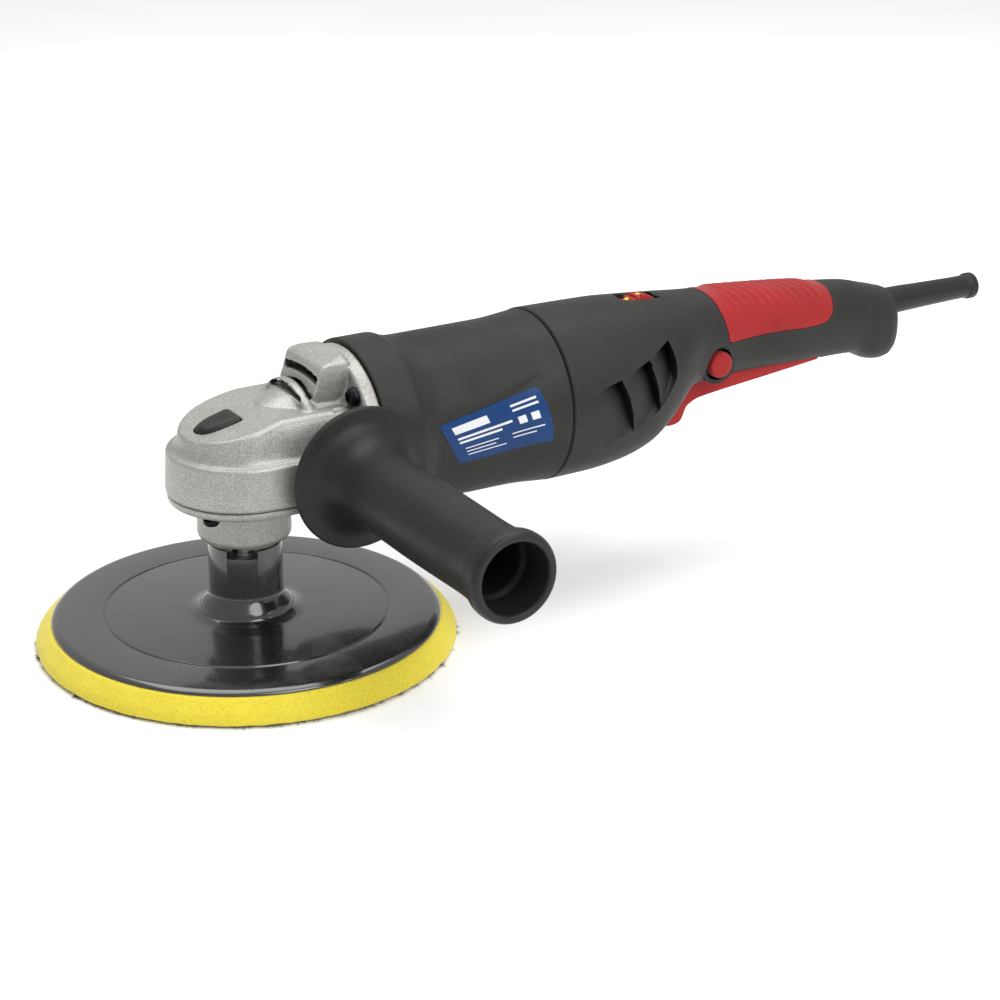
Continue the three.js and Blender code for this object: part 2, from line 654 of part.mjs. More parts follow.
// Stations along the handle: x, top, bottom, half width and how square the section is.
const handleStations = [
  [handleFront, 123.9, 46, 38.9, 2],
  [162, 123.7, 46.3, 38.5, 2],
  [178, 123.3, 48.2, 37.2, 2.05],
  [192, 122.3, 52.4, 34.8, 2.1],
  [202, 121.4, 59.8, 31.8, 2.15],
  [210, 120.7, 68.6, 28.4, 2.2],
  [217, 120.1, 74.8, 25, 2.25],
  [224, 119.6, 76.4, 22, 2.3],
  [236, 118.9, 77.4, 19.2, 2.35],
  [256, 117.4, 77.2, 17.4, 2.4],
  [280, 115.2, 76.6, 16.8, 2.4],
  [300, 112.9, 76.4, 16.4, 2.4],
  [318, 110.6, 75.8, 16.2, 2.4],
  [323, 109.4, 73.6, 16.4, 2.4],
  [328, 107.9, 71.4, 17, 2.4],
  [333, 106.6, 70.6, 17, 2.4],
  [337, 105.4, 70.8, 15.8, 2.4],
  [340, 104.6, 72.2, 13.8, 2.35],
  [342, 104.1, 74.4, 11.6, 2.3],
];

// One section of the handle, drawn in by `inset` all round.
function handleRing([x, top, bottom, half, power], inset, count) {
  const centre = (top + bottom) / 2;
  const tall = (top - bottom) / 2 - inset;
  const wide = half - inset;
  return Array.from({ length: count }, (_, i) => {
    const angle = (2 * Math.PI * (i + 0.5)) / count;
    const bend = (value) => Math.sign(value) * Math.abs(value) ** (2 / power);
    return new THREE.Vector3(
      x, wide * bend(Math.cos(angle)), centre + tall * bend(Math.sin(angle)));
  });
}

const handleSkin = (inset, count = 20) =>
  loft(handleStations.map((station) => handleRing(station, inset, count)));

function handleHollow() {
  const inner = handleStations.slice(0, -3).map((station) => handleRing(station, handleWall, 16));
  const mouth = inner[0].map((point) => point.clone().setX(handleFront - 5));
  const rear = inner.at(-1).map((point) => point.clone().setX(336));
  return loft([mouth, ...inner.slice(0, -1), rear]);
}

// Side view of the red soft grip that wraps over the top of the handle.
function gripZone(grow) {
  const shape = new THREE.Shape();
  shape.moveTo(237 - grow, 98.2 - grow);
  shape.lineTo(286, 97.4 - grow);
  shape.bezierCurveTo(294 + grow, 97.4 - grow, 300 + grow, 103, 300 + grow, 111);
  shape.lineTo(299 + grow, 126);
  shape.lineTo(232 - grow, 126);
  shape.lineTo(234.6 - grow, 106);
  return sideways(shape, -30, 30, 6);
}

const triggerBay = sideways(flat([
  [200, 40], [300, 40], [300, 88], [226, 88], [214, 80], [203, 66], [200, 58],
]), -triggerWidth / 2 - 0.5, triggerWidth / 2 + 0.5);
const dialSlot = box(dial.x - 14.2, dial.x + 14.2, -dial.width / 2 - 0.7, dial.width / 2 + 0.7,
  98, 130);
const dialAxle = alongY(rod(2.4, -9, 9, 16), dial.x, dial.z);
const dialCheeks = box(dial.x - 5, dial.x + 5, -8.6, 8.6, 106, 121);

// Scooped louvres on both flanks: each is a wedge-shaped cut that deepens to the rear.
const louvreSpots = [
  { x: 157.6, z: 84.5, rise: 12 },
  { x: 172.6, z: 90.8, rise: 11.6 },
  { x: 184.6, z: 99.6, rise: 8.4 },
];
const louvre = ({ x, z, rise }, side) => {
  const wedge = flat([[x, side * 44], [x + 11.5, side * 24], [x + 13.5, side * 24], [x + 13.5, side * 44]]);
  return plate(wedge, z - rise, z + rise);
};

const handlePosts = handleScrewSpots.map(({ x, z }) => alongY(rod(4.4, -45, 45, 10), x, z));
const pivotPosts = alongY(rod(4.6, -20, 20, 10), triggerPivot.x, triggerPivot.z);
const buttonTower = alongY(rod(9.2, -30, -10.8, 18), lockButton.x, lockButton.z);

function handleShell(side) {
  const solidInside = [...handlePosts, pivotPosts, dialCheeks];
  if (side < 0) solidInside.push(buttonTower);
  const half = side < 0 ? box(130, 360, -60, -gap / 2, 30, 140) : box(130, 360, gap / 2, 60, 30, 140);
  const screwCuts = handleScrewSpots.flatMap(({ x, z }) => (side > 0
    ? [alongY(rod(2.3, -1, 45, 8), x, z), alongY(rod(3.9, 9, 45, 12), x, z)]
    : [alongY(rod(2.2, -10, 1, 8), x, z)]));
  const buttonCuts = side > 0 ? [] : [
    alongY(rod(lockButton.radius + 0.5, -30, -12.9, 20), lockButton.x, lockButton.z),
    alongY(rod(3.3, -20, -5, 12), lockButton.x, lockButton.z),
  ];
  return cut(
    common(handleSkin(0), half),
    cut(handleHollow(), ...solidInside),
    cut(gripZone(0.3), handleSkin(1.9)),
    triggerBay, dialSlot, dialAxle,
    alongY(rod(2 + gap, -12, 12, 10), triggerPivot.x, triggerPivot.z),
    ...louvreSpots.map((spot) => louvre(spot, side)),
    ...screwCuts, ...buttonCuts,
    alongX(rod(6.5 + gap, 330, 360, 18), 0, cordExit.z),
  );
}
add(polisher, 'handle_shell_left', handleShell(-1), charcoal);
add(polisher, 'handle_shell_right', handleShell(1), charcoal);
add(polisher, 'grip_overmould', cut(common(handleSkin(0), gripZone(0)), handleSkin(1.6)), redRubber);

handleScrewSpots.forEach(({ x, z }, i) => {
  const mesh = add(polisher, `handle_screw_${i + 1}`, screw(1.9, 18, 3.5, 2.4), blackSteel,
    x, 9 + gap, z);
  mesh.rotation.x = -Math.PI / 2;
});

// ---------------------------------------------------------------- trigger and switch

// The paddle lies under the grip and ends in a hook that follows the body's belly.
function triggerSide() {
  const shape = new THREE.Shape();
  shape.moveTo(206.4, 60.4);
  shape.quadraticCurveTo(214, 58.6, 217.4, 61.6);
  shape.lineTo(219.6, 66.4);
  shape.quadraticCurveTo(222, 70.2, 228, 71.2);
  shape.lineTo(262, 74.6);
  shape.lineTo(296, 78.2);
  shape.lineTo(297.4, 84);
  shape.lineTo(293, 87.6);
  shape.lineTo(286, 83.6);
  shape.lineTo(252, 83.6);
  shape.lineTo(249, 86);
  shape.lineTo(241, 86);
  shape.lineTo(238, 83);
  shape.lineTo(226, 80.6);
  shape.quadraticCurveTo(216.6, 77.6, 213, 71);
  shape.quadraticCurveTo(210.6, 64.6, 206.4, 61.4);
  return shape;
}
add(polisher, 'trigger', cut(
  sideways(triggerSide(), -triggerWidth / 2, triggerWidth / 2, 4),
  alongY(rod(2 + gap, -15, 15, 10), triggerPivot.x, triggerPivot.z),
), redPlastic);
add(polisher, 'trigger_pin', alongY(rod(2, -11.6, 11.6, 10)), steel,
  triggerPivot.x, 0, triggerPivot.z);
add(polisher, 'trigger_spring', coil(3.4, 0.5, 84, 91.4, 4), steel, 266);

const plungerX = 245;
const switchBottom = 91.8;
add(polisher, 'switch_module', cut(
  box(236, 280, -9, 9, switchBottom, 107.5), rod(2.5, 90, 104, 10).translate(plungerX, 0, 0),
), blackPlastic);
add(polisher, 'switch_plunger', rod(2.1, 86.4, 99.5, 10), amberPlastic, plungerX);

// ---------------------------------------------------------------- lock-on button, dial, cord

add(polisher, 'lock_button', alongY(turned([
  [0, -21.2], [lockButton.radius - 0.8, -21.2], [lockButton.radius, -20.4],
  [lockButton.radius, -16.2], [3, -16.2], [3, -13.7], [0, -13.7],
], 20)), redPlastic, lockButton.x, 0, lockButton.z);
add(polisher, 'lock_button_spring', alongY(coil(4.4, 0.4, -16, -13.1, 2)), steel,
  lockButton.x, 0, lockButton.z);

add(polisher, 'speed_dial', alongY(join(
  plate(notchedDisc(dial.radius, 24, 0.9, 0.35), -dial.width / 2, dial.width / 2),
  rod(2, -8.2, 8.2, 10),
)), redPlastic, dial.x, 0, dial.z);
add(polisher, 'speed_control_board', box(178, 222, -15, 15, 90, 92), circuitGreen);

add(polisher, 'cord_guard', alongX(turned([
  [cordExit.bore, 327], [7.1, 327], [7.1, 329.6], [6.5, 329.6], [6.5, 350], [5.5, 385],
  [5.5, 392], [6.3, 393.5], [6.3, cordExit.x + cordExit.length],
  [cordExit.bore, cordExit.x + cordExit.length], [cordExit.bore, 327],
], 18)), blackPlastic, 0, 0, cordExit.z);
add(polisher, 'cord_clamp', cut(
  box(310, 318, -11, 11, 88, 93.4), alongX(rod(3.6, 300, 330, 12), 0, cordExit.z),
), blackPlastic);

export default polisher;
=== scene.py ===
"""Looks of the rotary polisher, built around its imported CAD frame.

Shapes are worked out in millimetres and scaled to metres when a piece is finished.
The spindle is the Z axis, the motor lies along X at AXIS_Z, the side handle points to -Y.
"""

import json
import math
import random

import bmesh
import bpy
import numpy as np
from mathutils import Matrix, Vector, noise


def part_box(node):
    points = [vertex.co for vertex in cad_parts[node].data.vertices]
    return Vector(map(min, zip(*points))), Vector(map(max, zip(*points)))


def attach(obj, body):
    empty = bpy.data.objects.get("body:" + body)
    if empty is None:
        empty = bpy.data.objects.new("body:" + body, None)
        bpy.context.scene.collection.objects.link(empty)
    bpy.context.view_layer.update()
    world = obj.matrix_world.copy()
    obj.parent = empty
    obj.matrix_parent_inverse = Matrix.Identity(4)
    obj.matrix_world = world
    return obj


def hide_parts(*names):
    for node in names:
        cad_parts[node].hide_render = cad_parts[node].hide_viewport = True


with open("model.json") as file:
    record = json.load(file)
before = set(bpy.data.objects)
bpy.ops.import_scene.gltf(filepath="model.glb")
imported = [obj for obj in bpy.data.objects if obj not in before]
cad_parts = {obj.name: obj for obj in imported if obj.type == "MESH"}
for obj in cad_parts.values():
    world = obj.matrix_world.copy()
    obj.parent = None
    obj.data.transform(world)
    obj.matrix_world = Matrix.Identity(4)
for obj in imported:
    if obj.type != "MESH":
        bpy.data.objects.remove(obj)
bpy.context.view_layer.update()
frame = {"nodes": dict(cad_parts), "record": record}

MM = 0.001
TAU = 2 * math.pi


def mid_height(node):
    """Height of a CAD node's middle, in millimetres."""
    low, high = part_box(node)
    return (low.z + high.z) / 2 / MM


AXIS_Z = mid_height("armature_shaft")
PAD_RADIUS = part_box("pad_hook_layer")[1].x / MM
PLATE_RADIUS = 83.1
FLANGE_FRONT, FLANGE_REAR = 42, 48.8
FLANGE_RADIUS = 37.8
RIM_RADIUS = 38.5           # front and rear rim of the motor housing
SCREW_OFFSET = 23.3         # flange screws, sideways and up or down from the motor's axis
SIDE_FACE = 38.9            # face of the bosses that take the side handle
LOCK_FLOOR = 91.5           # floor of the spindle-lock button's pocket
LOCK_PIN_X = -14
MOTOR_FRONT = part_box("motor_housing")[0].x / MM
HANDLE_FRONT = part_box("handle_shell_left")[0].x / MM
HANDLE_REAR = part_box("handle_shell_left")[1].x / MM
SIDE_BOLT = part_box("side_handle_bolt")
SIDE_X, SIDE_Z = ((SIDE_BOLT[0][axis] + SIDE_BOLT[1][axis]) / 2 / MM for axis in (0, 2))
DIAL_X, DIAL_Z = 198, 110.6
BUTTON_X, BUTTON_Z = 231.5, 88.8
CORD_Z = 96.6

# ------------------------------------------------------------------ meshes


def skin(name, rings, loop=False):
    """A closed skin over rings of equally many points. A loop joins the last ring to the first,
    otherwise each end is closed by a flat face."""
    count = len(rings[0])
    mesh = bmesh.new()
    rows = [[mesh.verts.new(point) for point in ring] for ring in rings]
    pairs = list(zip(rows, rows[1:]))
    if loop:
        pairs.append((rows[-1], rows[0]))
    for low, high in pairs:
        for i in range(count):
            j = (i + 1) % count
            mesh.faces.new((low[i], low[j], high[j], high[i]))
    if not loop:
        mesh.faces.new(list(reversed(rows[0])))
        mesh.faces.new(rows[-1])
    bmesh.ops.remove_doubles(mesh, verts=mesh.verts, dist=1e-4)
    bmesh.ops.dissolve_degenerate(mesh, edges=mesh.edges, dist=1e-5)
    bmesh.ops.recalc_face_normals(mesh, faces=mesh.faces)
    return as_object(name, mesh)


def as_object(name, mesh):
    data = bpy.data.meshes.new(name)
    mesh.to_mesh(data)
    mesh.free()
    thing = bpy.data.objects.new(name, data)
    bpy.context.scene.collection.objects.link(thing)
    return thing


ALONG_Z = (Vector((0, 0, 1)), Vector((1, 0, 0)), Vector((0, 1, 0)))
ALONG_X = (Vector((1, 0, 0)), Vector((0, -1, 0)), Vector((0, 0, 1)))
ALONG_Y = (Vector((0, 1, 0)), Vector((1, 0, 0)), Vector((0, 0, 1)))
AGAINST_Y = (Vector((0, -1, 0)), Vector((1, 0, 0)), Vector((0, 0, 1)))


def spun(name, profile, segments=96, axis=ALONG_Z, centre=(0, 0, 0), loop=False, wave=None):
    """A body turned about an axis from (radius, distance) pairs. `wave` adds to the radius."""
    along, side, up = axis
    rings = []
    for radius, distance in profile:
        ring = []
        for i in range(segments):
            angle = TAU * i / segments
            grown = radius + (wave(angle, radius, distance) if wave and radius > 0.01 else 0)
            ring.append(Vector(centre) + along * distance
                        + (side * math.cos(angle) + up * math.sin(angle)) * grown)
        rings.append(ring)
    return skin(name, rings, loop)


def soft(points, radius, steps=4):
    """Rounds the inner corners of a polyline. A point's third number is its own radius."""
    out = [points[0][:2]]
    for before, corner, after in zip(points, points[1:], points[2:]):
        a, b, c = (np.array(p[:2], float) for p in (before, corner, after))
        wanted = corner[2] if len(corner) > 2 else radius
        back, ahead = np.linalg.norm(a - b), np.linalg.norm(c - b)
        start = b + (a - b) / back * min(wanted, back * 0.48)
        end = b + (c - b) / ahead * min(wanted, ahead * 0.48)
        for i in range(steps + 1):
            t = i / steps
            point = start * (1 - t) ** 2 + b * 2 * t * (1 - t) + end * t ** 2
            out.append((float(point[0]), float(point[1])))
    out.append(points[-1][:2])
    return out


def soft_loop(points, radius, steps=4):
    """Rounds every corner of a closed outline."""
    around = [points[-1], *points, points[0]]
    return soft(around, radius, steps)[1:-1]


def prism(name, outline, low, high, plane="xz"):
    """An outline in X and Z spread over Y, in X and Y raised over Z, or in Y and Z along X."""
    place = {
        "xz": lambda a, b, c: (a, c, b),
        "xy": lambda a, b, c: (a, b, c),
        "yz": lambda a, b, c: (c, a, b),
    }[plane]
    return skin(name, [[place(a, b, c) for a, b in outline] for c in (low, high)])


def box(name, x0, x1, y0, y1, z0, z1):
    return prism(name, [(x0, z0), (x1, z0), (x1, z1), (x0, z1)], y0, y1)


def round_hole(name, radius, start, end, axis=ALONG_Z, centre=(0, 0, 0), segments=48):
    return spun(name, [(0, start), (radius, start), (radius, end), (0, end)], segments, axis, centre)


def slab(name, place, layers, columns, rows):
    """A closed skin between two grids of points. `place` gives a point from its two shares,
    each 0 to 1, and from its layer."""
    mesh = bmesh.new()
    grids = [[[mesh.verts.new(place(i / columns, j / rows, layer)) for j in range(rows + 1)]
              for i in range(columns + 1)] for layer in layers]
    for grid in grids:
        for i in range(columns):
            for j in range(rows):
                mesh.faces.new((grid[i][j], grid[i + 1][j], grid[i + 1][j + 1], grid[i][j + 1]))
    below, above = grids
    ring = ([(i, 0) for i in range(columns)] + [(columns, j) for j in range(rows)]
            + [(i, rows) for i in range(columns, 0, -1)] + [(0, j) for j in range(rows, 0, -1)])
    for (a, b), (c, d) in zip(ring, ring[1:] + ring[:1]):
        mesh.faces.new((below[a][b], below[c][d], above[c][d], above[a][b]))
    bmesh.ops.recalc_face_normals(mesh, faces=mesh.faces)
    return as_object(name, mesh)


def settle(thing):
    """Replaces the mesh by what its modifiers make of it."""
    graph = bpy.context.evaluated_depsgraph_get()
    made = bpy.data.meshes.new_from_object(thing.evaluated_get(graph))
    old = thing.data
    thing.modifiers.clear()
    thing.data = made
    bpy.data.meshes.remove(old)
    return thing


def combine(target, others, operation):
    for other in others:
        step = target.modifiers.new("step", "BOOLEAN")
        step.operation = operation
        step.solver = "MANIFOLD"
        step.object = other
    settle(target)
    for other in others:
        bpy.data.objects.remove(other)
    return target


def carve(target, *cutters):
    return combine(target, cutters, "DIFFERENCE")


def weld(target, *others):
    return combine(target, others, "UNION")


def overlap(target, *others):
    return combine(target, others, "INTERSECT")


def copy_of(thing):
    twin = thing.copy()
    twin.data = thing.data.copy()
    bpy.context.scene.collection.objects.link(twin)
    return twin


def bevelled(thing, width, segments=3, angle=32):
    step = thing.modifiers.new("bevel", "BEVEL")
    step.width = width
    step.segments = segments
    step.limit_method = "ANGLE"
    step.angle_limit = math.radians(angle)
    step.harden_normals = False
    return settle(thing)


def recast(things, voxel, smoothing):
    """One smooth skin round several overlapping solids."""
    target = things[0]
    if len(things) > 1:
        with bpy.context.temp_override(active_object=target, selected_editable_objects=things,
                                       selected_objects=things, object=target):
            bpy.ops.object.join()
    mesh = target.modifiers.new("voxels", "REMESH")
    mesh.mode = "VOXEL"
    mesh.voxel_size = voxel
    mesh.use_smooth_shade = True
    relax = target.modifiers.new("relax", "SMOOTH")
    relax.factor = 0.5
    relax.iterations = smoothing
    return settle(target)


def joined(name, things):
    """Several meshes as one object, nothing merged."""
    mesh = bmesh.new()
    for thing in things:
        mesh.from_mesh(thing.data)
    for thing in things:
        bpy.data.objects.remove(thing)
    return as_object(name, mesh)


def mirrored(thing, name):
    """A copy on the other side of the y = 0 plane."""
    twin = copy_of(thing)
    twin.name = name
    twin.data.transform(Matrix.Diagonal((1, -1, 1, 1)))
    twin.data.flip_normals()
    return twin


def blend_between(value, low, high):
    """0 below low, 1 above high, smooth between."""
    t = min(1.0, max(0.0, (value - low) / (high - low)))
    return t * t * (3 - 2 * t)


# ------------------------------------------------------------------ materials


def srgb(red, green, blue):
    def linear(value):
        value /= 255
        return value / 12.92 if value <= 0.04045 else ((value + 0.055) / 1.055) ** 2.4
    return (linear(red), linear(green), linear(blue), 1)


class Finish:
    """A Principled material whose colour, roughness and relief come from object-space noise;
    shaded_hollows also paints shade into the colour.
    """

    def __init__(self, name, **constants):
        self.material = bpy.data.materials.new(name)
        self.material.use_nodes = True
        self.nodes = self.material.node_tree.nodes
        self.links = self.material.node_tree.links
        self.shader = self.nodes["Principled BSDF"]
        for socket, value in constants.items():
            self.shader.inputs[socket.replace("_", " ")].default_value = value
        self.coordinates = self.nodes.new("ShaderNodeTexCoord").outputs["Object"]

    def node(self, kind, **settings):
        made = self.nodes.new(kind)
        for key, value in settings.items():
            if key in made.inputs:
                made.inputs[key].default_value = value
            else:
                setattr(made, key, value)
        return made

    def noise(self, scale, detail=3.0, rough=0.55):
        made = self.node("ShaderNodeTexNoise", Scale=scale, Detail=detail, Roughness=rough)
        self.links.new(self.coordinates, made.inputs["Vector"])
        return made.outputs["Fac"]

    def cells(self, scale):
        made = self.node("ShaderNodeTexVoronoi", Scale=scale)
        self.links.new(self.coordinates, made.inputs["Vector"])
        return made.outputs["Distance"]

    def ramp(self, source, low, high, at=(0.3, 0.7)):
        made = self.nodes.new("ShaderNodeValToRGB")
        made.color_ramp.elements[0].position = at[0]
        made.color_ramp.elements[1].position = at[1]
        made.color_ramp.elements[0].color = low
        made.color_ramp.elements[1].color = high
        self.links.new(source, made.inputs["Fac"])
        return made.outputs["Color"]

    def mix(self, how, factor, first, second):
        made = self.node("ShaderNodeMixRGB", blend_type=how)
        for socket, value in (("Fac", factor), ("Color1", first), ("Color2", second)):
            if isinstance(value, bpy.types.NodeSocket):
                self.links.new(value, made.inputs[socket])
            else:
                made.inputs[socket].default_value = value
        return made.outputs["Color"]

    def remap(self, source, low, high, start=0.25, end=0.75):
        made = self.nodes.new("ShaderNodeMapRange")
        for socket, value in (("From Min", start), ("From Max", end),
                              ("To Min", low), ("To Max", high)):
            made.inputs[socket].default_value = value
        self.links.new(source, made.inputs["Value"])
        return made.outputs["Result"]

    def colour(self, source):
        self.links.new(source, self.shader.inputs["Base Color"])

    def roughness(self, source, low, high):
        self.links.new(self.remap(source, low, high), self.shader.inputs["Roughness"])

    def relief(self, *layers):
        """Layers of (height source, strength, distance in millimetres)."""
        normal = None
        for source, strength, distance in layers:
            bump = self.node("ShaderNodeBump", Strength=strength, Distance=distance * MM)
            self.links.new(source, bump.inputs["Height"])
            if normal:
                self.links.new(normal, bump.inputs["Normal"])
            normal = bump.outputs["Normal"]
        self.links.new(normal, self.shader.inputs["Normal"])

    def shaded_hollows(self, base, reach, darkest):
        """Paints shade into a colour: darkens it by ambient occlusion where nearby surfaces of the
        same piece close in on it.
        """
        open_sky = self.node("ShaderNodeAmbientOcclusion", Distance=reach * MM, samples=8,
                             only_local=True)
        # painted shade: 1 in the open, down to darkest deep in the hollows
        painted_shade = self.remap(open_sky.outputs["AO"], darkest, 1, 0.3, 0.9)
        return self.mix("MULTIPLY", 1.0, base, painted_shade)

    def edges(self):
        """1 on outward edges, from the mesh's own pointiness."""
        geometry = self.nodes.new("ShaderNodeNewGeometry")
        return self.remap(geometry.outputs["Pointiness"], 0, 1, 0.5, 0.56)


def shade(colour, factor):
    return (*(min(1, channel * factor) for channel in colour[:3]), 1)


def moulded(name, colour, rough=(0.46, 0.6), grain=0.25, grain_scale=1500, sheen=0.0,
            worn=1.35, hollow=None):
    """Moulded plastic: faint mottling, a spark-eroded grain, edges rubbed lighter and, where hollow
    is given, painted shade in its hollows.
    """
    finish = Finish(name, Specular_IOR_Level=0.24, Sheen_Weight=sheen)
    cloud = finish.noise(38, 4)
    base = finish.ramp(cloud, shade(colour, 0.88), shade(colour, 1.12))
    fine = finish.noise(900, 2)
    base = finish.mix("MULTIPLY", 0.5, base, finish.ramp(fine, (0.84, 0.84, 0.84, 1), (1, 1, 1, 1)))
    base = finish.mix("MIX", finish.remap(finish.edges(), 0, 0.35, 0, 1), base,
                      shade(colour, worn))
    # hollow = (reach in mm, darkest share) paints shade into the colour where the piece closes in on
    # itself
    finish.colour(finish.shaded_hollows(base, *hollow) if hollow else base)
    finish.roughness(finish.noise(70, 4), *rough)
    finish.relief((finish.noise(grain_scale, 3, 0.6), grain, 0.05),
                  (finish.noise(45, 2), 0.05, 0.4))
    return finish.material


def metal(name, colour, rough=(0.25, 0.4)):
    """Machined metal with a fine uneven surface."""
    finish = Finish(name, Metallic=1.0)
    grain = finish.noise(420, 4, 0.6)
    finish.colour(finish.ramp(grain, shade(colour, 0.86), shade(colour, 1.14)))
    finish.roughness(finish.noise(60, 3), *rough)
    finish.relief((grain, 0.12, 0.04))
    return finish.material


def cast_silver():
    """Painted aluminium casting: sparkling flakes, a slight orange peel, and painted shade darkening
    the hollows.
    """
    finish = Finish("cast_silver", Metallic=0.45, Specular_IOR_Level=0.5)
    flake = finish.cells(2300)
    base = finish.ramp(flake, srgb(104, 102, 98), srgb(186, 184, 179), (0.08, 0.66))
    cloud = finish.noise(55, 4)
    base = finish.mix("MULTIPLY", 0.7, base, finish.ramp(cloud, (0.78, 0.775, 0.765, 1),
                                                         (1, 1, 1, 1)))
    # painted shade in the hollows, from ambient occlusion over 7 mm
    finish.colour(finish.shaded_hollows(base, 7, 0.04))
    finish.roughness(flake, 0.3, 0.5)
    finish.relief((finish.noise(1700, 2, 0.5), 0.4, 0.08), (finish.noise(240, 3), 0.2, 0.14))
    return finish.material


def gloss_black():
    """Polished nylon: deep black, with a clear gloss and fine scuffs."""
    finish = Finish("plate_gloss_black", Specular_IOR_Level=0.5, Coat_Weight=1.0,
                    Coat_Roughness=0.09, Coat_IOR=1.55)
    cloud = finish.noise(26, 4)
    finish.colour(finish.ramp(cloud, srgb(20, 20, 20), srgb(30, 30, 30)))
    finish.roughness(finish.noise(120, 5, 0.65), 0.22, 0.34)
    finish.relief((finish.noise(600, 3), 0.04, 0.04))
    return finish.material


def yellow_foam():
    """Closed-cell foam: small pores, darker in the pores and slightly soiled."""
    finish = Finish("foam_yellow", Specular_IOR_Level=0.2, Sheen_Weight=0.2,
                    Subsurface_Weight=0.12, Subsurface_Scale=0.003)
    pores = finish.cells(950)
    base = finish.ramp(pores, srgb(192, 174, 34), srgb(220, 203, 64), (0.06, 0.4))
    base = finish.mix("MULTIPLY", 0.5, base, finish.ramp(finish.noise(60, 4),
                                                         (0.9, 0.88, 0.8, 1), (1, 1, 1, 1)))
    finish.colour(base)
    finish.roughness(pores, 0.8, 0.95)
    finish.relief((pores, 0.5, 0.25), (finish.noise(420, 3), 0.35, 0.2))
    return finish.material


def hook_black():
    finish = Finish("hook_tape", Specular_IOR_Level=0.25, Sheen_Weight=0.3)
    pile = finish.noise(1100, 3, 0.7)
    finish.colour(finish.ramp(pile, srgb(22, 22, 23), srgb(58, 58, 58)))
    finish.roughness(pile, 0.85, 1)
    finish.relief((pile, 0.7, 0.3))
    return finish.material


def windings():
    """Enamelled wire laid side by side."""
    finish = Finish("enamelled_wire", Metallic=0.7)
    wave = finish.node("ShaderNodeTexWave", Scale=620.0, Distortion=2.0)
    finish.links.new(finish.coordinates, wave.inputs["Vector"])
    lay = wave.outputs["Fac"]
    finish.colour(finish.ramp(lay, srgb(104, 48, 22), srgb(196, 112, 62)))
    finish.roughness(lay, 0.28, 0.5)
    finish.relief((lay, 0.6, 0.2))
    return finish.material


def laminated():
    finish = Finish("laminated_steel", Metallic=0.9)
    wave = finish.node("ShaderNodeTexWave", Scale=300.0, Distortion=0.2, bands_direction="X")
    finish.links.new(finish.coordinates, wave.inputs["Vector"])
    sheets = wave.outputs["Fac"]
    finish.colour(finish.ramp(sheets, srgb(78, 80, 84), srgb(132, 134, 138)))
    finish.roughness(sheets, 0.35, 0.55)
    finish.relief((sheets, 0.5, 0.15))
    return finish.material


CHARCOAL = srgb(39, 39, 37)
RED = srgb(150, 20, 22)

looks = {
    "cast_aluminium": cast_silver(),
    "steel": metal("ground_steel", srgb(196, 198, 200)),
    "black_steel": metal("black_oxide_steel", srgb(38, 38, 42), (0.35, 0.5)),
    "lamination": laminated(),
    "copper": windings(),
    "bronze": metal("plain_bronze", srgb(186, 150, 88), (0.3, 0.45)),
    "carbon": moulded("pressed_carbon", srgb(34, 34, 36), (0.7, 0.85)),
    # hollow paints shade into these plastics' hollows: (reach in mm, darkest share)
    "charcoal_plastic": moulded("charcoal_nylon", CHARCOAL, hollow=(9, 0.12)),
    "black_gloss": gloss_black(),
    "black_plastic": moulded("black_nylon", srgb(35, 35, 34), (0.36, 0.5), hollow=(16, 0.1)),
    "red_plastic": moulded("red_nylon", srgb(152, 24, 24), (0.34, 0.46), 0.15, worn=1.15),
    "red_rubber": moulded("red_soft_rubber", RED, (0.55, 0.7), 0.4, 1900, 0.15, worn=1.12),
    "yellow_foam": yellow_foam(),
    "hook_layer": hook_black(),
    "circuit_board": moulded("green_board", srgb(34, 92, 60), (0.3, 0.5)),
    "amber_plastic": moulded("amber_acetal", srgb(150, 112, 62), (0.35, 0.5)),
}

# ------------------------------------------------------------------ finishing a piece


def finish_piece(thing, body, slot, *nodes, look=None, sharp=34):
    """Scales a piece to metres, gives it its material and ties it to the frame."""
    thing.data.transform(Matrix.Scale(MM, 4))
    thing.data.shade_smooth()
    thing.data.set_sharp_from_angle(angle=math.radians(sharp))
    thing.data.materials.clear()
    thing.data.materials.append(look or looks[slot])
    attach(thing, body)
    if nodes:
        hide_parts(*nodes)
    return thing


# ------------------------------------------------------------------ backing pad

random.seed(11)


def rim_noise(size, scale):
    def wave(angle, radius, distance):
        spot = Vector((math.cos(angle) * scale, math.sin(angle) * scale, distance * 0.6))
        return size * noise.noise(spot)
    return wave


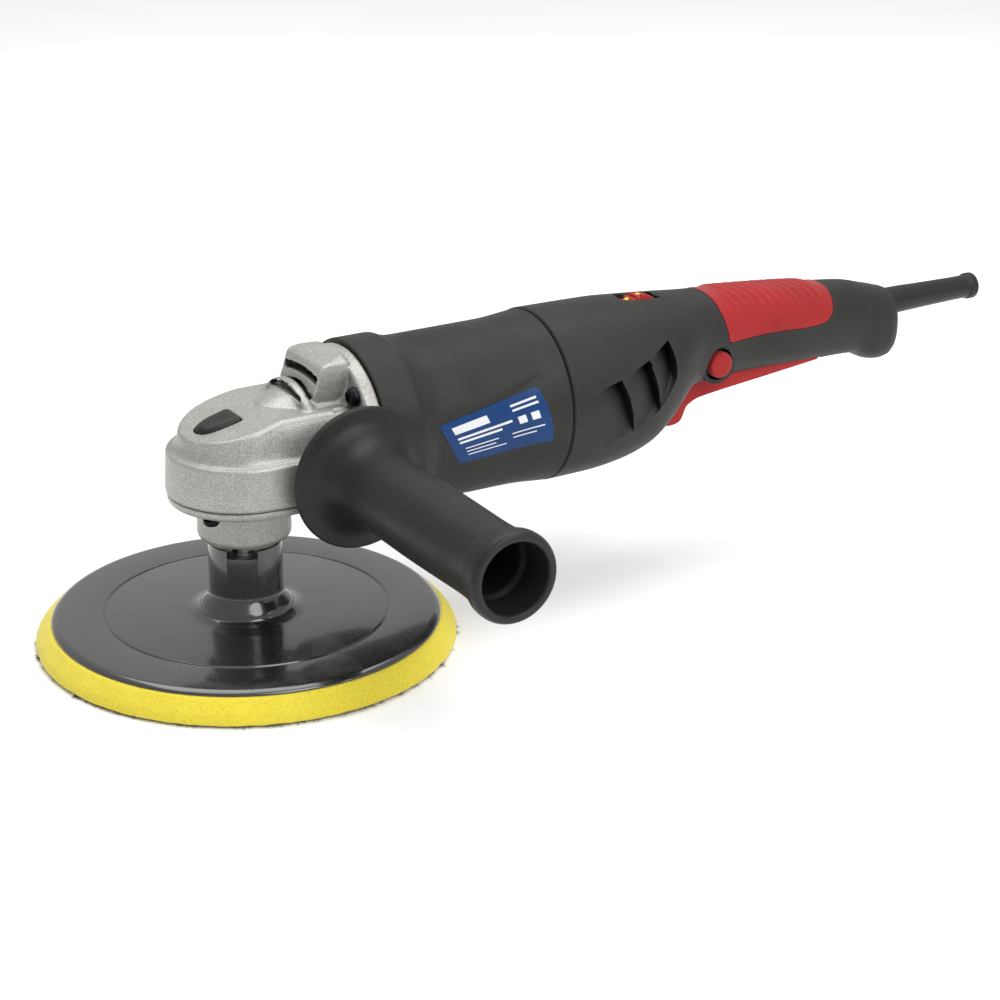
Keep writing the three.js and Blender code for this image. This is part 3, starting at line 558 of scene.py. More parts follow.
def hook_tape():
    """A thin backing with a pile of small hooks below it and frayed fibres round its rim."""
    hooks, tufts = 5200, 150
    rim = PAD_RADIUS - 2.7
    base = soft([(0, 0.9), (rim - 0.5, 0.9), (rim, 1.4), (rim - 0.2, 2.4), (0, 2.4)], 0.3, 3)
    sheet = spun("hook_tape", base, 240, wave=rim_noise(0.45, 34))
    mesh = bmesh.new()
    mesh.from_mesh(sheet.data)

    def fibre(root, tip, width):
        along = (tip - root).normalized()
        side = along.orthogonal().normalized()
        foot = []
        for k in range(3):
            turn = Matrix.Rotation(TAU * k / 3, 3, along)
            foot.append(mesh.verts.new(root + turn @ side * width))
        top = mesh.verts.new(tip)
        for k in range(3):
            mesh.faces.new((foot[k], foot[(k + 1) % 3], top))
        mesh.faces.new((foot[2], foot[1], foot[0]))

    for _ in range(hooks):
        angle = random.uniform(0, TAU)
        radius = (rim - 0.5) * math.sqrt(random.random())
        root = Vector((math.cos(angle) * radius, math.sin(angle) * radius, 1.1))
        lean = Vector((random.uniform(-0.5, 0.5), random.uniform(-0.5, 0.5), -1.05))
        fibre(root, root + lean, 0.22)
    for _ in range(tufts):
        tuft = random.uniform(0, TAU)
        for _ in range(random.randint(2, 7)):
            angle = tuft + random.uniform(-0.02, 0.02)
            out = Vector((math.cos(angle), math.sin(angle), 0))
            root = out * (rim - 0.6) + Vector((0, 0, random.uniform(0.8, 1.2)))
            tip = out * (PAD_RADIUS + random.uniform(-0.4, 1.5))
            tip += Vector((random.uniform(-0.7, 0.7), random.uniform(-0.7, 0.7),
                           random.uniform(0.05, 0.7)))
            fibre(root, tip, 0.26)
    bpy.data.objects.remove(sheet)
    return as_object("hook_tape", mesh)


finish_piece(hook_tape(), "spindle_assembly", "hook_layer", "pad_hook_layer")

foam = spun("foam_ring", soft([
    (0, 2.7), (PAD_RADIUS - 2.3, 2.7, 0.2), (PAD_RADIUS - 2, 0.9, 0.4),
    (PAD_RADIUS - 0.7, 0.9, 0.6), (PAD_RADIUS - 0.2, 2.6, 1), (PAD_RADIUS - 1.2, 5.4, 1.2),
    (PLATE_RADIUS + 1.2, 10.3, 0.8), (PLATE_RADIUS + 0.1, 10.8, 0.5),
    (0, 10.8),
], 0.5, 4), 300, wave=rim_noise(0.35, 26))
finish_piece(foam, "spindle_assembly", "yellow_foam", "pad_foam")

plate = spun("backing_plate", soft_loop([
    (11, 11.1, 0.2), (PLATE_RADIUS, 11.1, 0.4), (PLATE_RADIUS - 0.5, 11.9, 0.5),
    (PLATE_RADIUS - 2.4, 13, 1.2), (61.6, 13.4, 0.2), (61.1, 12.8, 0.2), (60.4, 12.8, 0.2),
    (59.9, 13.4, 0.2), (24.5, 13.7, 2.5), (20.4, 15.2, 1.2), (19.8, 17.6, 1.2), (17.6, 19.9, 1.4),
    (15.8, 22.2, 2), (15.8, 45, 0.5), (11, 45, 0.3),
], 0.4, 4), 192, loop=True)
notches = []
for turn in (-2.1, -2.1 + math.pi):
    notch = box("notch", 10, 17, -6.5, 6.5, 41.4, 46)
    notch.data.transform(Matrix.Rotation(turn, 4, "Z"))
    notches.append(notch)
carve(plate, *notches)
finish_piece(plate, "spindle_assembly", "black_gloss", "pad_plate")

# ------------------------------------------------------------------ screws


def screw(name, head_radius, height, shank, length):
    """A pan-head screw with a cross recess, at the origin with its head upwards."""
    body = spun(name, soft([
        (0, -length), (shank * 0.8, -length), (shank, -length + 1), (shank, 0, 0.05),
        (head_radius, 0, 0.3), (head_radius, height * 0.45, 0.5), (head_radius * 0.72, height, 0.8),
        (0, height),
    ], 0.2, 3), 32)
    wide, arm = head_radius * 0.62, head_radius * 0.15
    cross = [box("arm", -a, a, -b, b, height * 0.35, height + 1)
             for a, b in ((wide, arm), (arm, wide))]
    return carve(body, *cross)


SKIRT_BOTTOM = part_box("bearing_cover")[1].z / MM + 0.3
SKIRT_STEP = 87.3
COVER_FLANGE = 64.5
COVER_SPOT = (22.8, 17.3)

cover_spots = [(sx * COVER_SPOT[0], sy * COVER_SPOT[1]) for sx in (-1, 1) for sy in (-1, 1)]
for number, (x, y) in enumerate(cover_spots, 1):
    piece = screw(f"cover_screw_head_{number}", 3.5, 2.6, 1.9, 18)
    piece.data.transform(Matrix.Translation((x, y, COVER_FLANGE - 0.3))
                         @ Matrix.Rotation(math.pi, 4, "X")
                         @ Matrix.Rotation(0.5 * number, 4, "Z"))
    finish_piece(piece, "machine", "black_steel", f"cover_screw_{number}")

flange_spots = [(sy * SCREW_OFFSET, AXIS_Z + sz * SCREW_OFFSET)
                for sy in (-1, 1) for sz in (-1, 1)]
for number, (y, z) in enumerate(flange_spots, 1):
    piece = screw(f"housing_screw_head_{number}", 4.1, 3.6, 2, 22)
    piece.data.transform(Matrix.Translation((FLANGE_FRONT - 0.3, y, z))
                         @ Matrix.Rotation(-math.pi / 2, 4, "Y")
                         @ Matrix.Rotation(0.4 * number, 4, "Z"))
    finish_piece(piece, "machine", "black_steel", f"housing_screw_{number}")

# ------------------------------------------------------------------ bearing cover


def skirt_outline(radius, rear_x, rear_half, count=72, side_steps=12):
    """Plan of the skirt: round at the front, with sides that widen a little to the rear."""
    side = [(rear_x * (1 - i / side_steps), rear_half + (radius - rear_half) * i / side_steps)
            for i in range(side_steps)]
    front = [(-radius * math.sin(angle), radius * math.cos(angle))
             for angle in np.linspace(0, math.pi, count + 1)]
    return side + front + [(x, -y) for x, y in reversed(side)]


def stacked(name, levels):
    """Levels of (outline, height), skinned upwards."""
    return skin(name, [[(x, y, height) for x, y in outline] for outline, height in levels])


def cover():
    """The bearing cover: a flange under the skirt and a notched collar round the bearing."""
    flange = stacked("flange", [
        (skirt_outline(31.8 - inset, 33 - inset, 32.8 - inset), height)
        for inset, height in ((1.6, COVER_FLANGE), (0.5, COVER_FLANGE + 0.5),
                              (0, COVER_FLANGE + 1.4), (0, SKIRT_BOTTOM - 0.7),
                              (0.4, SKIRT_BOTTOM - 0.3))])
    collar = spun("collar", soft([
        (0, 46.5), (18, 46.5, 0.5), (19.9, 48.8, 1.2), (19.9, 62, 0.5), (21.4, 65.2, 1), (0, 65.5),
    ], 0.5), 96)
    cutters = [round_hole("seat", 16.3, 50.2, 75, segments=64),
               round_hole("bore", 11, 40, 75, segments=64)]
    for i in range(6):
        notch = box("notch", 16, 22, -4, 4, 45, 47.9)
        notch.data.transform(Matrix.Rotation(-1.1 + i * TAU / 6, 4, "Z"))
        cutters.append(notch)
    for x, y in cover_spots:
        cutters.append(round_hole("hole", 2.2, 60, 75, centre=(x, y, 0), segments=24))
    return carve(weld(flange, collar), *cutters)


piece = cover()
piece.name = "bearing_cover_casting"
bevelled(piece, 0.35, 2)
finish_piece(piece, "machine", "cast_aluminium", "bearing_cover")

# ------------------------------------------------------------------ gear head casting

PLATEAU_X, PLATEAU_Z = 7.5, 103.7
SLOPE_X, SLOPE_Z = -20, 96.7
HUMP_HALF = 16


def head_top(x):
    """Height of the sloping front and the plateau, with a rounded ridge between them."""
    slope = SLOPE_Z + (x - SLOPE_X) * (PLATEAU_Z - SLOPE_Z) / (PLATEAU_X - SLOPE_X)
    softness = 0.14
    return PLATEAU_Z - softness * math.log(math.exp((PLATEAU_Z - slope) / softness) + 1)


# Radius of the head's round front at each height, as drawn in from the base outline.
HEAD_BASE = 31.3
HEAD_HEIGHTS = (86.4, 87.2, 88.4, 91, 94, 97, 100.5, 104, 108)
HEAD_RADII = (31, 30, 28.2, 27.2, 26.5, 25.8, 24.6, 22.9, 20.5)


def head_body():
    """The tapered upper body with a small fillet between its wall and its top. It runs back to
    the flange as a shoulder on each side of the neck."""
    fillet = 1.3
    base = skirt_outline(HEAD_BASE, 47, 32)

    def drawn_in(point, height):
        share = float(np.interp(height, HEAD_HEIGHTS, HEAD_RADII)) / HEAD_BASE
        return max(point[0], point[0] * share), point[1] * share

    def raised(point, part):
        top = head_top(drawn_in(point, 97)[0]) - fillet
        height = 91 + (top - 91) * part
        return (*drawn_in(point, height), height)

    rings = [[(*drawn_in(p, height), height) for p in base]
             for height in (82, 86.4, 87.2, 87.8, 88.4, 89.6)]
    rings += [[raised(point, part) for point in base] for part in np.linspace(0, 1, 7)]
    wall = rings[-1]
    for turn in np.linspace(0.15, math.pi / 2, 7):
        ring = []
        for x, y, height in wall:
            flat = Vector((x, y))
            inward = (Vector((max(x, 0), 0)) - flat).normalized() * fillet * (1 - math.cos(turn))
            x_in, y_in = flat + inward
            lift = head_top(x_in) - fillet + fillet * math.sin(turn)
            ring.append((x_in, y_in, max(height, lift)))
        rings.append(ring)
    rim, centre = rings[-1], Vector((12, 0))
    for share in (0.85, 0.7, 0.5, 0.25, 0.0):
        ring = []
        for x, y, _ in rim:
            flat = centre + (Vector((x, y)) - centre) * share
            ring.append((flat.x, flat.y, head_top(flat.x)))
        rings.append(ring)
    return skin("head", rings)


def arched_slot(name, x0, x1, half, top, top_sag, bottom, bottom_sag):
    """A slot through the front wall whose edges both arch over the middle."""
    steps = 20
    upper = [(half * (2 * i / steps - 1), top - top_sag * (2 * i / steps - 1) ** 2)
             for i in range(steps + 1)]
    lower = [(y, bottom - bottom_sag * (y / half) ** 2) for y, _ in reversed(upper)]
    return prism(name, upper + lower, x0, x1, "yz")


def lock_outline(inset):
    """Plan of the spindle-lock button: wide at the rear, narrow and round at the front."""
    corners = [(-2.2 - inset, -7.6 + inset, 1.6), (-2.2 - inset, 7.6 - inset, 1.6),
               (-12, 7.4 - inset, 4), (-19.4 + inset, 5.4 - inset, 3.4),
               (-21.3 + inset, 0, 4), (-19.4 + inset, -5.4 + inset, 3.4),
               (-12, -7.4 + inset, 4)]
    return soft_loop(corners, 2, 5)


def gear_casting():
    """The gear head: its solids are cast into one skin, then hollowed and drilled."""
    motor = (0, 0, AXIS_Z)
    skirt = stacked("skirt", [
        (skirt_outline(32.5 - inset, 42, 34.4 - inset), height)
        for inset, height in ((0.7, SKIRT_BOTTOM), (0, SKIRT_BOTTOM + 0.9), (0, 72), (0.6, 83),
                              (0.7, SKIRT_STEP - 1.2), (1.1, SKIRT_STEP - 0.3), (2, SKIRT_STEP))])
    neck = spun("neck", soft([
        (0, PLATEAU_X), (18.9, PLATEAU_X, 0.3), (23.7, 20.2, 0.6), (26.7, 20.2, 0.7),
        (27.5, 21.4, 0.8), (27.5, 24, 0.8), (25.9, 25.6, 1), (25.7, 38, 2), (28.5, 40.6, 1.5),
        (36, 43), (0, 43),
    ], 1), 128, ALONG_X, motor)
    neck_side = prism("side", [
        (-10, SKIRT_BOTTOM), (33.3, SKIRT_BOTTOM), (34.5, 40), (60, 40), (60, 130), (-10, 130),
    ], -50, 50)
    hump = prism("hump", [
        (26, 90), (26, 109.4), (27, 111.4), (29.4, 119.6), (31, 120.9), (43, 123.3), (43, 90),
    ], -HUMP_HALF, HUMP_HALF)
    overlap(hump, spun("limit", [(0, 20), (40.6, 20), (39.3, 44), (0, 44)], 160, ALONG_X, motor))
    bevelled(hump, 0.9, 3, 40)
    flange = spun("rim", soft([
        (0, FLANGE_FRONT), (FLANGE_RADIUS - 0.6, FLANGE_FRONT, 0.8), (FLANGE_RADIUS, 43.2, 0.8),
        (FLANGE_RADIUS, FLANGE_REAR, 0.4), (0, FLANGE_REAR),
    ], 0.5), 160, ALONG_X, motor)
    boss = spun("boss", soft([
        (0, -38.6), (12.5, -38.6, 0.8), (14, -33, 1), (15.4, -28, 1), (15.4, 28, 1), (14, 33, 1),
        (12.5, 38.9, 0.8), (0, 38.9),
    ], 0.5), 72, ALONG_Y, (SIDE_X, 0, SIDE_Z))
    body = recast([skirt, head_body(), overlap(neck, neck_side), hump, flange, boss], 0.55, 3)

    cutters = [
        box("under", -40, 33.3, -45, 45, 40, SKIRT_BOTTOM),
        box("behind", FLANGE_REAR, 60, -60, 60, 20, 150),
        spun("chamber", soft_loop([(9.9, 82.2), (9.9, 88), (25.7, 88, 1), (25.7, 60), (0.01, 60),
                                   (0.01, 82.2)], 0.2, 2), 72, loop=True),
        round_hole("shaft", 9.6, 10, 60, ALONG_X, motor),
        round_hole("bearing", 15.3, 36.2, 60, ALONG_X, motor),
        round_hole("register", 30, 46, 60, ALONG_X, motor, 96),
        round_hole("bush", 7.3, 80, 90.3),
        box("duct", 30.8, 60, -13, 13, 104, 117.6),
        arched_slot("wall_slot", 22, 32, 14.8, 117.1, 1.2, 113.9, 1.2),
        arched_slot("lip_slot", 18.6, 34, 14.3, 111.2, 3.5, 108.1, 2.4),
        prism("pocket", lock_outline(0), LOCK_FLOOR, 115, "xy"),
        round_hole("pin", 2.6, 80, 108, ALONG_Z, (LOCK_PIN_X, 0, 0)),
        round_hole("thread_left", 4.3, -39.5, -24, ALONG_Y, (SIDE_X, 0, SIDE_Z)),
        round_hole("thread_right", 4.3, 24, 39.5, ALONG_Y, (SIDE_X, 0, SIDE_Z)),
    ]
    for y, z in flange_spots:
        cutters.append(round_hole("pocket", 5.4, 31.5, FLANGE_FRONT, ALONG_X, (0, y, z)))
        cutters.append(round_hole("hole", 2.4, 41, 60, ALONG_X, (0, y, z), 24))
    for x, y in cover_spots:
        cutters.append(round_hole("hole", 2.2, 60, 83.5, ALONG_Z, (x, y, 0), 24))
    carve(body, weld(*cutters))
    recast([body], 0.5, 2)
    thin = body.modifiers.new("thin", "DECIMATE")
    thin.ratio = 0.45
    return settle(body)


piece = gear_casting()
piece.name = "gear_head_casting"
finish_piece(piece, "machine", "cast_aluminium", "gear_housing", sharp=60)


def lock_button_top():
    """The spindle-lock button: a rounded wedge that stands just proud of the sloping head."""
    bottom, middle = 95.8, -11

    def top_at(x, y):
        return 98.7 + (x + 20) * 0.255 - 0.012 * y * y

    rings = []
    for inset, drop in ((0.5, None), (0.5, 1.9), (0.8, 0.95), (1.5, 0.35), (2.6, 0)):
        ring = []
        for x, y in lock_outline(inset):
            ring.append((x, y, bottom if drop is None else top_at(x, y) - drop))
        rings.append(ring)
    last = rings[-1]
    for share in (0.6, 0.25, 0.0):
        inward = [(middle + (x - middle) * share, y * share) for x, y, _ in last]
        rings.append([(x, y, top_at(x, y)) for x, y in inward])
    return skin("spindle_lock_key", rings)


finish_piece(lock_button_top(), "spindle_lock", "black_plastic", "spindle_lock_button")

# ------------------------------------------------------------------ side handle


def mould_line(angle, radius, distance):
    """A hair-thin flash line on both flanks."""
    line = 0.25
    near = min(abs(math.remainder(angle - line - turn, TAU)) for turn in (0, math.pi))
    return 0.14 * math.exp(-(near / 0.018) ** 2) if distance < 123 and radius > 15 else 0


side_grip = spun("side_handle_moulding", soft_loop([
    (4.6, 0, 0.2), (29.4, 0, 1), (30.8, 1.3, 1), (30.6, 3.4, 1), (28.4, 3.7, 1.4), (24, 4.5, 3),
    (19.8, 8, 4), (17.3, 13.5, 4), (16.3, 21, 5), (16.8, 60, 12), (16.2, 101, 5), (16.6, 111.5, 3),
    (18, 116, 2), (18.8, 118.6, 1.5), (18.8, 122.4, 1), (17.6, 124.6, 0.9), (15.3, 124.6, 0.7),
    (14.6, 123.4, 0.6), (14.6, 108, 0.6), (12.8, 106, 0.6), (11.6, 30, 0.5), (4.6, 30, 0.2),
], 1, 5), 240, AGAINST_Y, (SIDE_X, -SIDE_FACE, SIDE_Z), loop=True, wave=mould_line)
finish_piece(side_grip, "machine", "black_plastic", "side_handle_grip")

# ------------------------------------------------------------------ motor housing


def crease_angle(x):
    return float(np.interp(x, [66, 70.2, 98, 117.8, 126.9, 134],
                           [0.29, 0.307, 0.368, 0.531, 0.607, 0.66]))


def motor_radius(x):
    return float(np.interp(x, MOTOR_PROFILE[:, 0], MOTOR_PROFILE[:, 1]))


def motor_point(x, angle, radius):
    """A place that far from the motor's axis. Angle 0 is the left flank, a quarter turn the top."""
    return (x, -radius * math.cos(angle), AXIS_Z + radius * math.sin(angle))


def collar_rise(x, angle):
    """The collar behind the flange stands a little higher over the top."""
    return 1.3 * max(0.0, math.sin(angle)) ** 1.5 * (1 - blend_between(x, 65, 70))


def motor_dent(x, angle):
    """Below the crease on each flank the surface lies a little lower."""
    above = angle if math.cos(angle) > 0 else math.pi - angle
    above = math.remainder(above, TAU)
    below = blend_between(crease_angle(x) - above, -0.012, 0.03)
    fades = blend_between(x, 66, 76) * (1 - blend_between(x, 112, 136))
    lower_end = blend_between(above, -1.0, -0.5)
    return -1.2 * below * fades * lower_end


MOTOR_REAR = HANDLE_FRONT - 0.3
MOTOR_PROFILE = np.array(soft([
    (MOTOR_FRONT, RIM_RADIUS - 0.5), (MOTOR_FRONT + 0.6, RIM_RADIUS), (66, RIM_RADIUS, 1.2),
    (70, 37.9, 2.5), (75, 36.9, 3.5), (124, 37.1, 6), (138.6, RIM_RADIUS, 3),
    (MOTOR_REAR - 0.6, RIM_RADIUS, 0.3), (MOTOR_REAR, RIM_RADIUS - 0.7),
], 1, 6))


def motor_shell():
    segments, bore = 240, 34.1
    steps = np.arange(MOTOR_FRONT + 1, MOTOR_REAR, 1.5)
    xs = sorted({round(x, 2) for x in [*MOTOR_PROFILE[:, 0], *steps]})
    turns = [TAU * i / segments for i in range(segments)]
    rings = [[motor_point(x, turn, motor_radius(x) + motor_dent(x, turn) + collar_rise(x, turn))
              for turn in turns] for x in xs]
    rings += [[motor_point(x, turn, bore) for turn in turns] for x in (MOTOR_REAR, MOTOR_FRONT)]
    return skin("motor_shell", rings, loop=True)


finish_piece(motor_shell(), "machine", "charcoal_plastic", "motor_housing", sharp=40)

# ------------------------------------------------------------------ sticker

LABEL = {"top_left": (74.8, 12.5), "top_right": (124.5, 26.4),
         "bottom_left": (85.5, -18.4), "bottom_right": (130.8, -13.0)}


def on_label(u, v, lift):
    """A place on the motor's left flank, u to the rear and v upwards across the sticker."""
    corner = {key: np.array(value, float) for key, value in LABEL.items()}
    low = corner["bottom_left"] * (1 - u) + corner["bottom_right"] * u
    high = corner["top_left"] * (1 - u) + corner["top_right"] * u
    x, degrees = low * (1 - v) + high * v
    x += 1.2 * 4 * v * (1 - v) * u
    angle = math.radians(degrees)
    return motor_point(x, angle, motor_radius(x) + motor_dent(x, angle) + lift)


def patch(name, u0, u1, v0, v1, low, high, corner=0.0, columns=24, rows=14):
    """A thin rounded patch on the label's surface between two lifts."""
    def place(s, t, lift):
        edge = min(s, 1 - s) * (u1 - u0)
        cut = 1.5 * (corner - math.sqrt(max(0, corner ** 2 - max(0, corner - edge) ** 2)))
        return on_label(u0 + (u1 - u0) * s, v0 + cut + (v1 - v0 - 2 * cut) * t, lift)

    return slab(name, place, (low, high), columns, rows)


sticker = patch("plain_sticker", 0, 1, 0, 1, 0.02, 0.16, 0.03, 56, 30)
finish_piece(sticker, "machine", None,
             look=moulded("sticker_blue", srgb(9, 54, 106), (0.3, 0.42), 0.05, 900, worn=1.1))

bars = [(0.09, 0.44, 0.70, 0.86), (0.09, 0.64, 0.565, 0.61), (0.09, 0.52, 0.475, 0.52),
        (0.12, 0.46, 0.33, 0.352), (0.12, 0.42, 0.25, 0.272), (0.12, 0.52, 0.17, 0.192),
        (0.68, 0.94, 0.83, 0.87), (0.68, 0.94, 0.74, 0.78), (0.70, 0.78, 0.48, 0.62),
        (0.83, 0.91, 0.48, 0.62), (0.60, 0.93, 0.33, 0.352), (0.60, 0.84, 0.25, 0.272)]
print_marks = joined("sticker_bars", [
    patch("bar", u0, u1, v0, v1, 0.17, 0.2, 0, 10, 3) for u0, u1, v0, v1 in bars])
finish_piece(print_marks, "machine", None,
             look=moulded("sticker_white", srgb(214, 216, 218), (0.4, 0.5), 0.05, 900, worn=1.0))

# ------------------------------------------------------------------ rear handle

# x, top, bottom, half width and squareness of the handle's sections.
STATIONS = np.array([
    (140.7, 123.9, 46, 38.9, 2), (162, 123.7, 46.3, 38.5, 2), (178, 123.3, 48.2, 37.2, 2.05),
    (192, 122.3, 52.4, 34.8, 2.1), (202, 121.4, 59.8, 31.8, 2.15), (210, 120.7, 68.6, 28.4, 2.2),
    (217, 120.1, 74.8, 25, 2.25), (224, 119.6, 76.4, 22, 2.3), (236, 118.9, 77.4, 19.2, 2.35),
    (256, 117.4, 77.2, 17.4, 2.4), (280, 115.2, 76.6, 16.8, 2.4), (300, 112.9, 76.4, 16.4, 2.4),
    (318, 110.6, 75.8, 16.2, 2.4), (323, 109.4, 73.6, 16.4, 2.4), (328, 107.9, 71.4, 17, 2.4),
    (333, 106.6, 70.6, 17, 2.4), (337, 105.4, 70.8, 15.8, 2.4), (340, 104.6, 72.2, 13.8, 2.35),
    (342, 104.1, 74.4, 11.6, 2.3),
])


def slopes(xs, ys):
    """Slopes for a smooth curve that doesn't overshoot its points."""
    steps = np.diff(xs)
    grades = np.diff(ys) / steps
    out = np.zeros(len(xs))
    out[0], out[-1] = grades[0], grades[-1]
    for i in range(1, len(xs) - 1):
        if grades[i - 1] * grades[i] > 0:
            first, second = 2 * steps[i] + steps[i - 1], steps[i] + 2 * steps[i - 1]
            out[i] = (first + second) / (first / grades[i - 1] + second / grades[i])
    return out


STATION_SLOPES = [slopes(STATIONS[:, 0], STATIONS[:, k]) for k in range(1, 5)]


def station(x):
    """Top, bottom, half width and squareness of the handle at x."""
    xs = STATIONS[:, 0]
    x = min(max(x, xs[0]), xs[-1])
    i = min(int(np.searchsorted(xs, x, side="right")) - 1, len(xs) - 2)
    width = xs[i + 1] - xs[i]
    t = (x - xs[i]) / width
    values = []
    for k in range(1, 5):
        a, b = STATIONS[i, k], STATIONS[i + 1, k]
        m, n = STATION_SLOPES[k - 1][i] * width, STATION_SLOPES[k - 1][i + 1] * width
        values.append(a * (2 * t ** 3 - 3 * t ** 2 + 1) + m * (t ** 3 - 2 * t ** 2 + t)
                      + b * (3 * t ** 2 - 2 * t ** 3) + n * (t ** 3 - t ** 2))
    return values


def bend(value, power):
    return math.copysign(abs(value) ** (2 / power), value)


def handle_point(x, angle, inset=0.0):
    """A point of the handle's skin. Angle 0 is the left flank and a quarter turn the top."""
    top, bottom, half, power = station(x)
    centre, tall = (top + bottom) / 2, (top - bottom) / 2
    return (x, -(half - inset) * bend(math.cos(angle), power),
            centre + (tall - inset) * bend(math.sin(angle), power))


def handle_ring(x, inset=0.0, count=120, at=None):
    ring = [handle_point(x, TAU * (i + 0.5) / count, inset) for i in range(count)]
    return [(at, y, z) for _, y, z in ring] if at is not None else ring


def flank(x, z):
    """Half width of the handle's skin at that place."""
    top, bottom, half, power = station(x)
    share = min(1.0, abs(z - (top + bottom) / 2) / ((top - bottom) / 2))
    return half * (1 - share ** power) ** (1 / power)


def handle_outer():
    rings = [handle_ring(HANDLE_FRONT, 0.7)]
    rings += [handle_ring(x) for x in np.arange(HANDLE_FRONT + 0.6, HANDLE_REAR - 2.2, 1.8)]
    for back, inset in ((1.8, 0.1), (0.9, 0.5), (0.3, 1.1), (0, 2.0)):
        rings.append(handle_ring(HANDLE_REAR - back, inset))
    return skin("outer", rings)


SHELL_WALL = 3.2


def handle_inner():
    """The hollow. The wall is thick behind the louvres, so that they stay closed."""
    def wall(x):
        behind_louvres = blend_between(x, 142, 148) * (1 - blend_between(x, 199, 205))
        return SHELL_WALL + 7.4 * behind_louvres

    rings = [handle_ring(HANDLE_FRONT, SHELL_WALL, at=HANDLE_FRONT - 4)]
    rings += [handle_ring(x, wall(x)) for x in np.arange(HANDLE_FRONT, 331, 1.5)]
    rings.append(handle_ring(331, 4.2, at=334))
    return skin("inner", rings)


def grip_outline(grow):
    """Side view of the red soft grip that wraps over the top of the handle."""
    corners = [
        (236.9 - grow, 98.2 - grow, 1.6), (262, 98.9 - grow, 20), (286, 97.4 - grow, 6),
        (297 + grow, 98.8 - grow, 9), (300 + grow, 109, 8), (299.6 + grow, 126, 1),
        (230.4 - grow, 126, 1), (233.6 - grow, 112, 8), (235.8 - grow, 103.5, 5),
    ]
    return soft_loop(corners, 3, 6)


def grip_skin(x, angle):
    """How far the grip's surface stands off the handle, with slanting ribs over the top."""
    rise = math.sin(angle)
    across = math.cos(angle)
    zone = blend_between(rise, 0.55, 0.9) * blend_between(x, 236, 242)
    zone *= 1 - blend_between(x, 290, 297)
    phase = (x - 6.5 * across) / 5.1
    saw = phase - math.floor(phase)
    ridge = (saw / 0.72) if saw < 0.72 else (1 - saw) / 0.28
    return 0.2 + 1.0 * zone * blend_between(ridge, 0.1, 0.9)


def soft_grip():
    count = 200
    rings = []
    for x in np.arange(228, 303.5, 0.5):
        rings.append([handle_point(x, TAU * (i + 0.5) / count, -grip_skin(x, TAU * (i + 0.5) / count))
                      for i in range(count)])
    outer = skin("soft_grip", rings)
    overlap(outer, prism("zone", grip_outline(0), -30, 30))
    inner = skin("inner", [handle_ring(x, 1.6, 96) for x in np.arange(226, 306, 2)])
    return bevelled(carve(outer, inner), 0.22, 2, 50)


# Louvres: the line along which each scoop starts or ends, from its upper to its lower point.
LOUVRE_LINES = [
    [(149.2, 94.1), (153.7, 83.0), (158.8, 67.9)],
    [(166.6, 97.7), (171.3, 86.5), (173.9, 72.5)],
    [(183.2, 103.1), (187.4, 89.3), (187.8, 79.6)],
    [(196.3, 108.8), (198.4, 98.2), (197.3, 91.0)],
]


def line_point(line, t):
    """A point on the smooth curve through three points."""
    (x0, z0), (x1, z1), (x2, z2) = line
    a, b, c = 2 * (t - 0.5) * (t - 1), 4 * t * (1 - t), 2 * t * (t - 0.5)
    return a * x0 + b * x1 + c * x2, a * z0 + b * z1 + c * z2


def scoop(front, rear, deep):
    """A cutter that starts with a low step along the front line and is deepest at the rear."""
    def place(s, t, outside):
        x0, z0 = line_point(front, t)
        x1, z1 = line_point(rear, t)
        x, z = x0 + (x1 - x0) * s, z0 + (z1 - z0) * s
        if outside:
            return (x, -(flank(x, z) + 12), z)
        depth = deep * (0.2 + 0.8 * s ** 1.4) * (1 - t ** 2.6) ** 0.6 * min(1, 0.55 + t * 4)
        return (x, -(flank(x, z) - depth), z)

    return slab("scoop", place, (False, True), 22, 20)


TRIGGER_HALF = 9.7
HANDLE_SCREWS = ((166, 62), (221, 105), (326, 85))


def trigger_outline():
    return soft_loop([
        (206.4, 60.6, 0.6), (212, 59.5, 3), (216.9, 60.6, 2), (218.6, 63.4, 1.5), (220.2, 67.6, 1.5),
        (225.2, 70.6, 3), (237.7, 72.2, 6), (262.5, 74.6, 10), (296, 78.0, 1.5), (297.4, 84, 1.5),
        (293, 87.4, 2), (286, 83.6, 2), (252, 83.6, 1), (249, 86, 1), (241, 86, 1), (238, 83, 1),
        (226, 80.2, 4), (216.6, 76.4, 4), (212.6, 69.6, 4), (207.2, 62.2, 0.8),
    ], 1, 4)


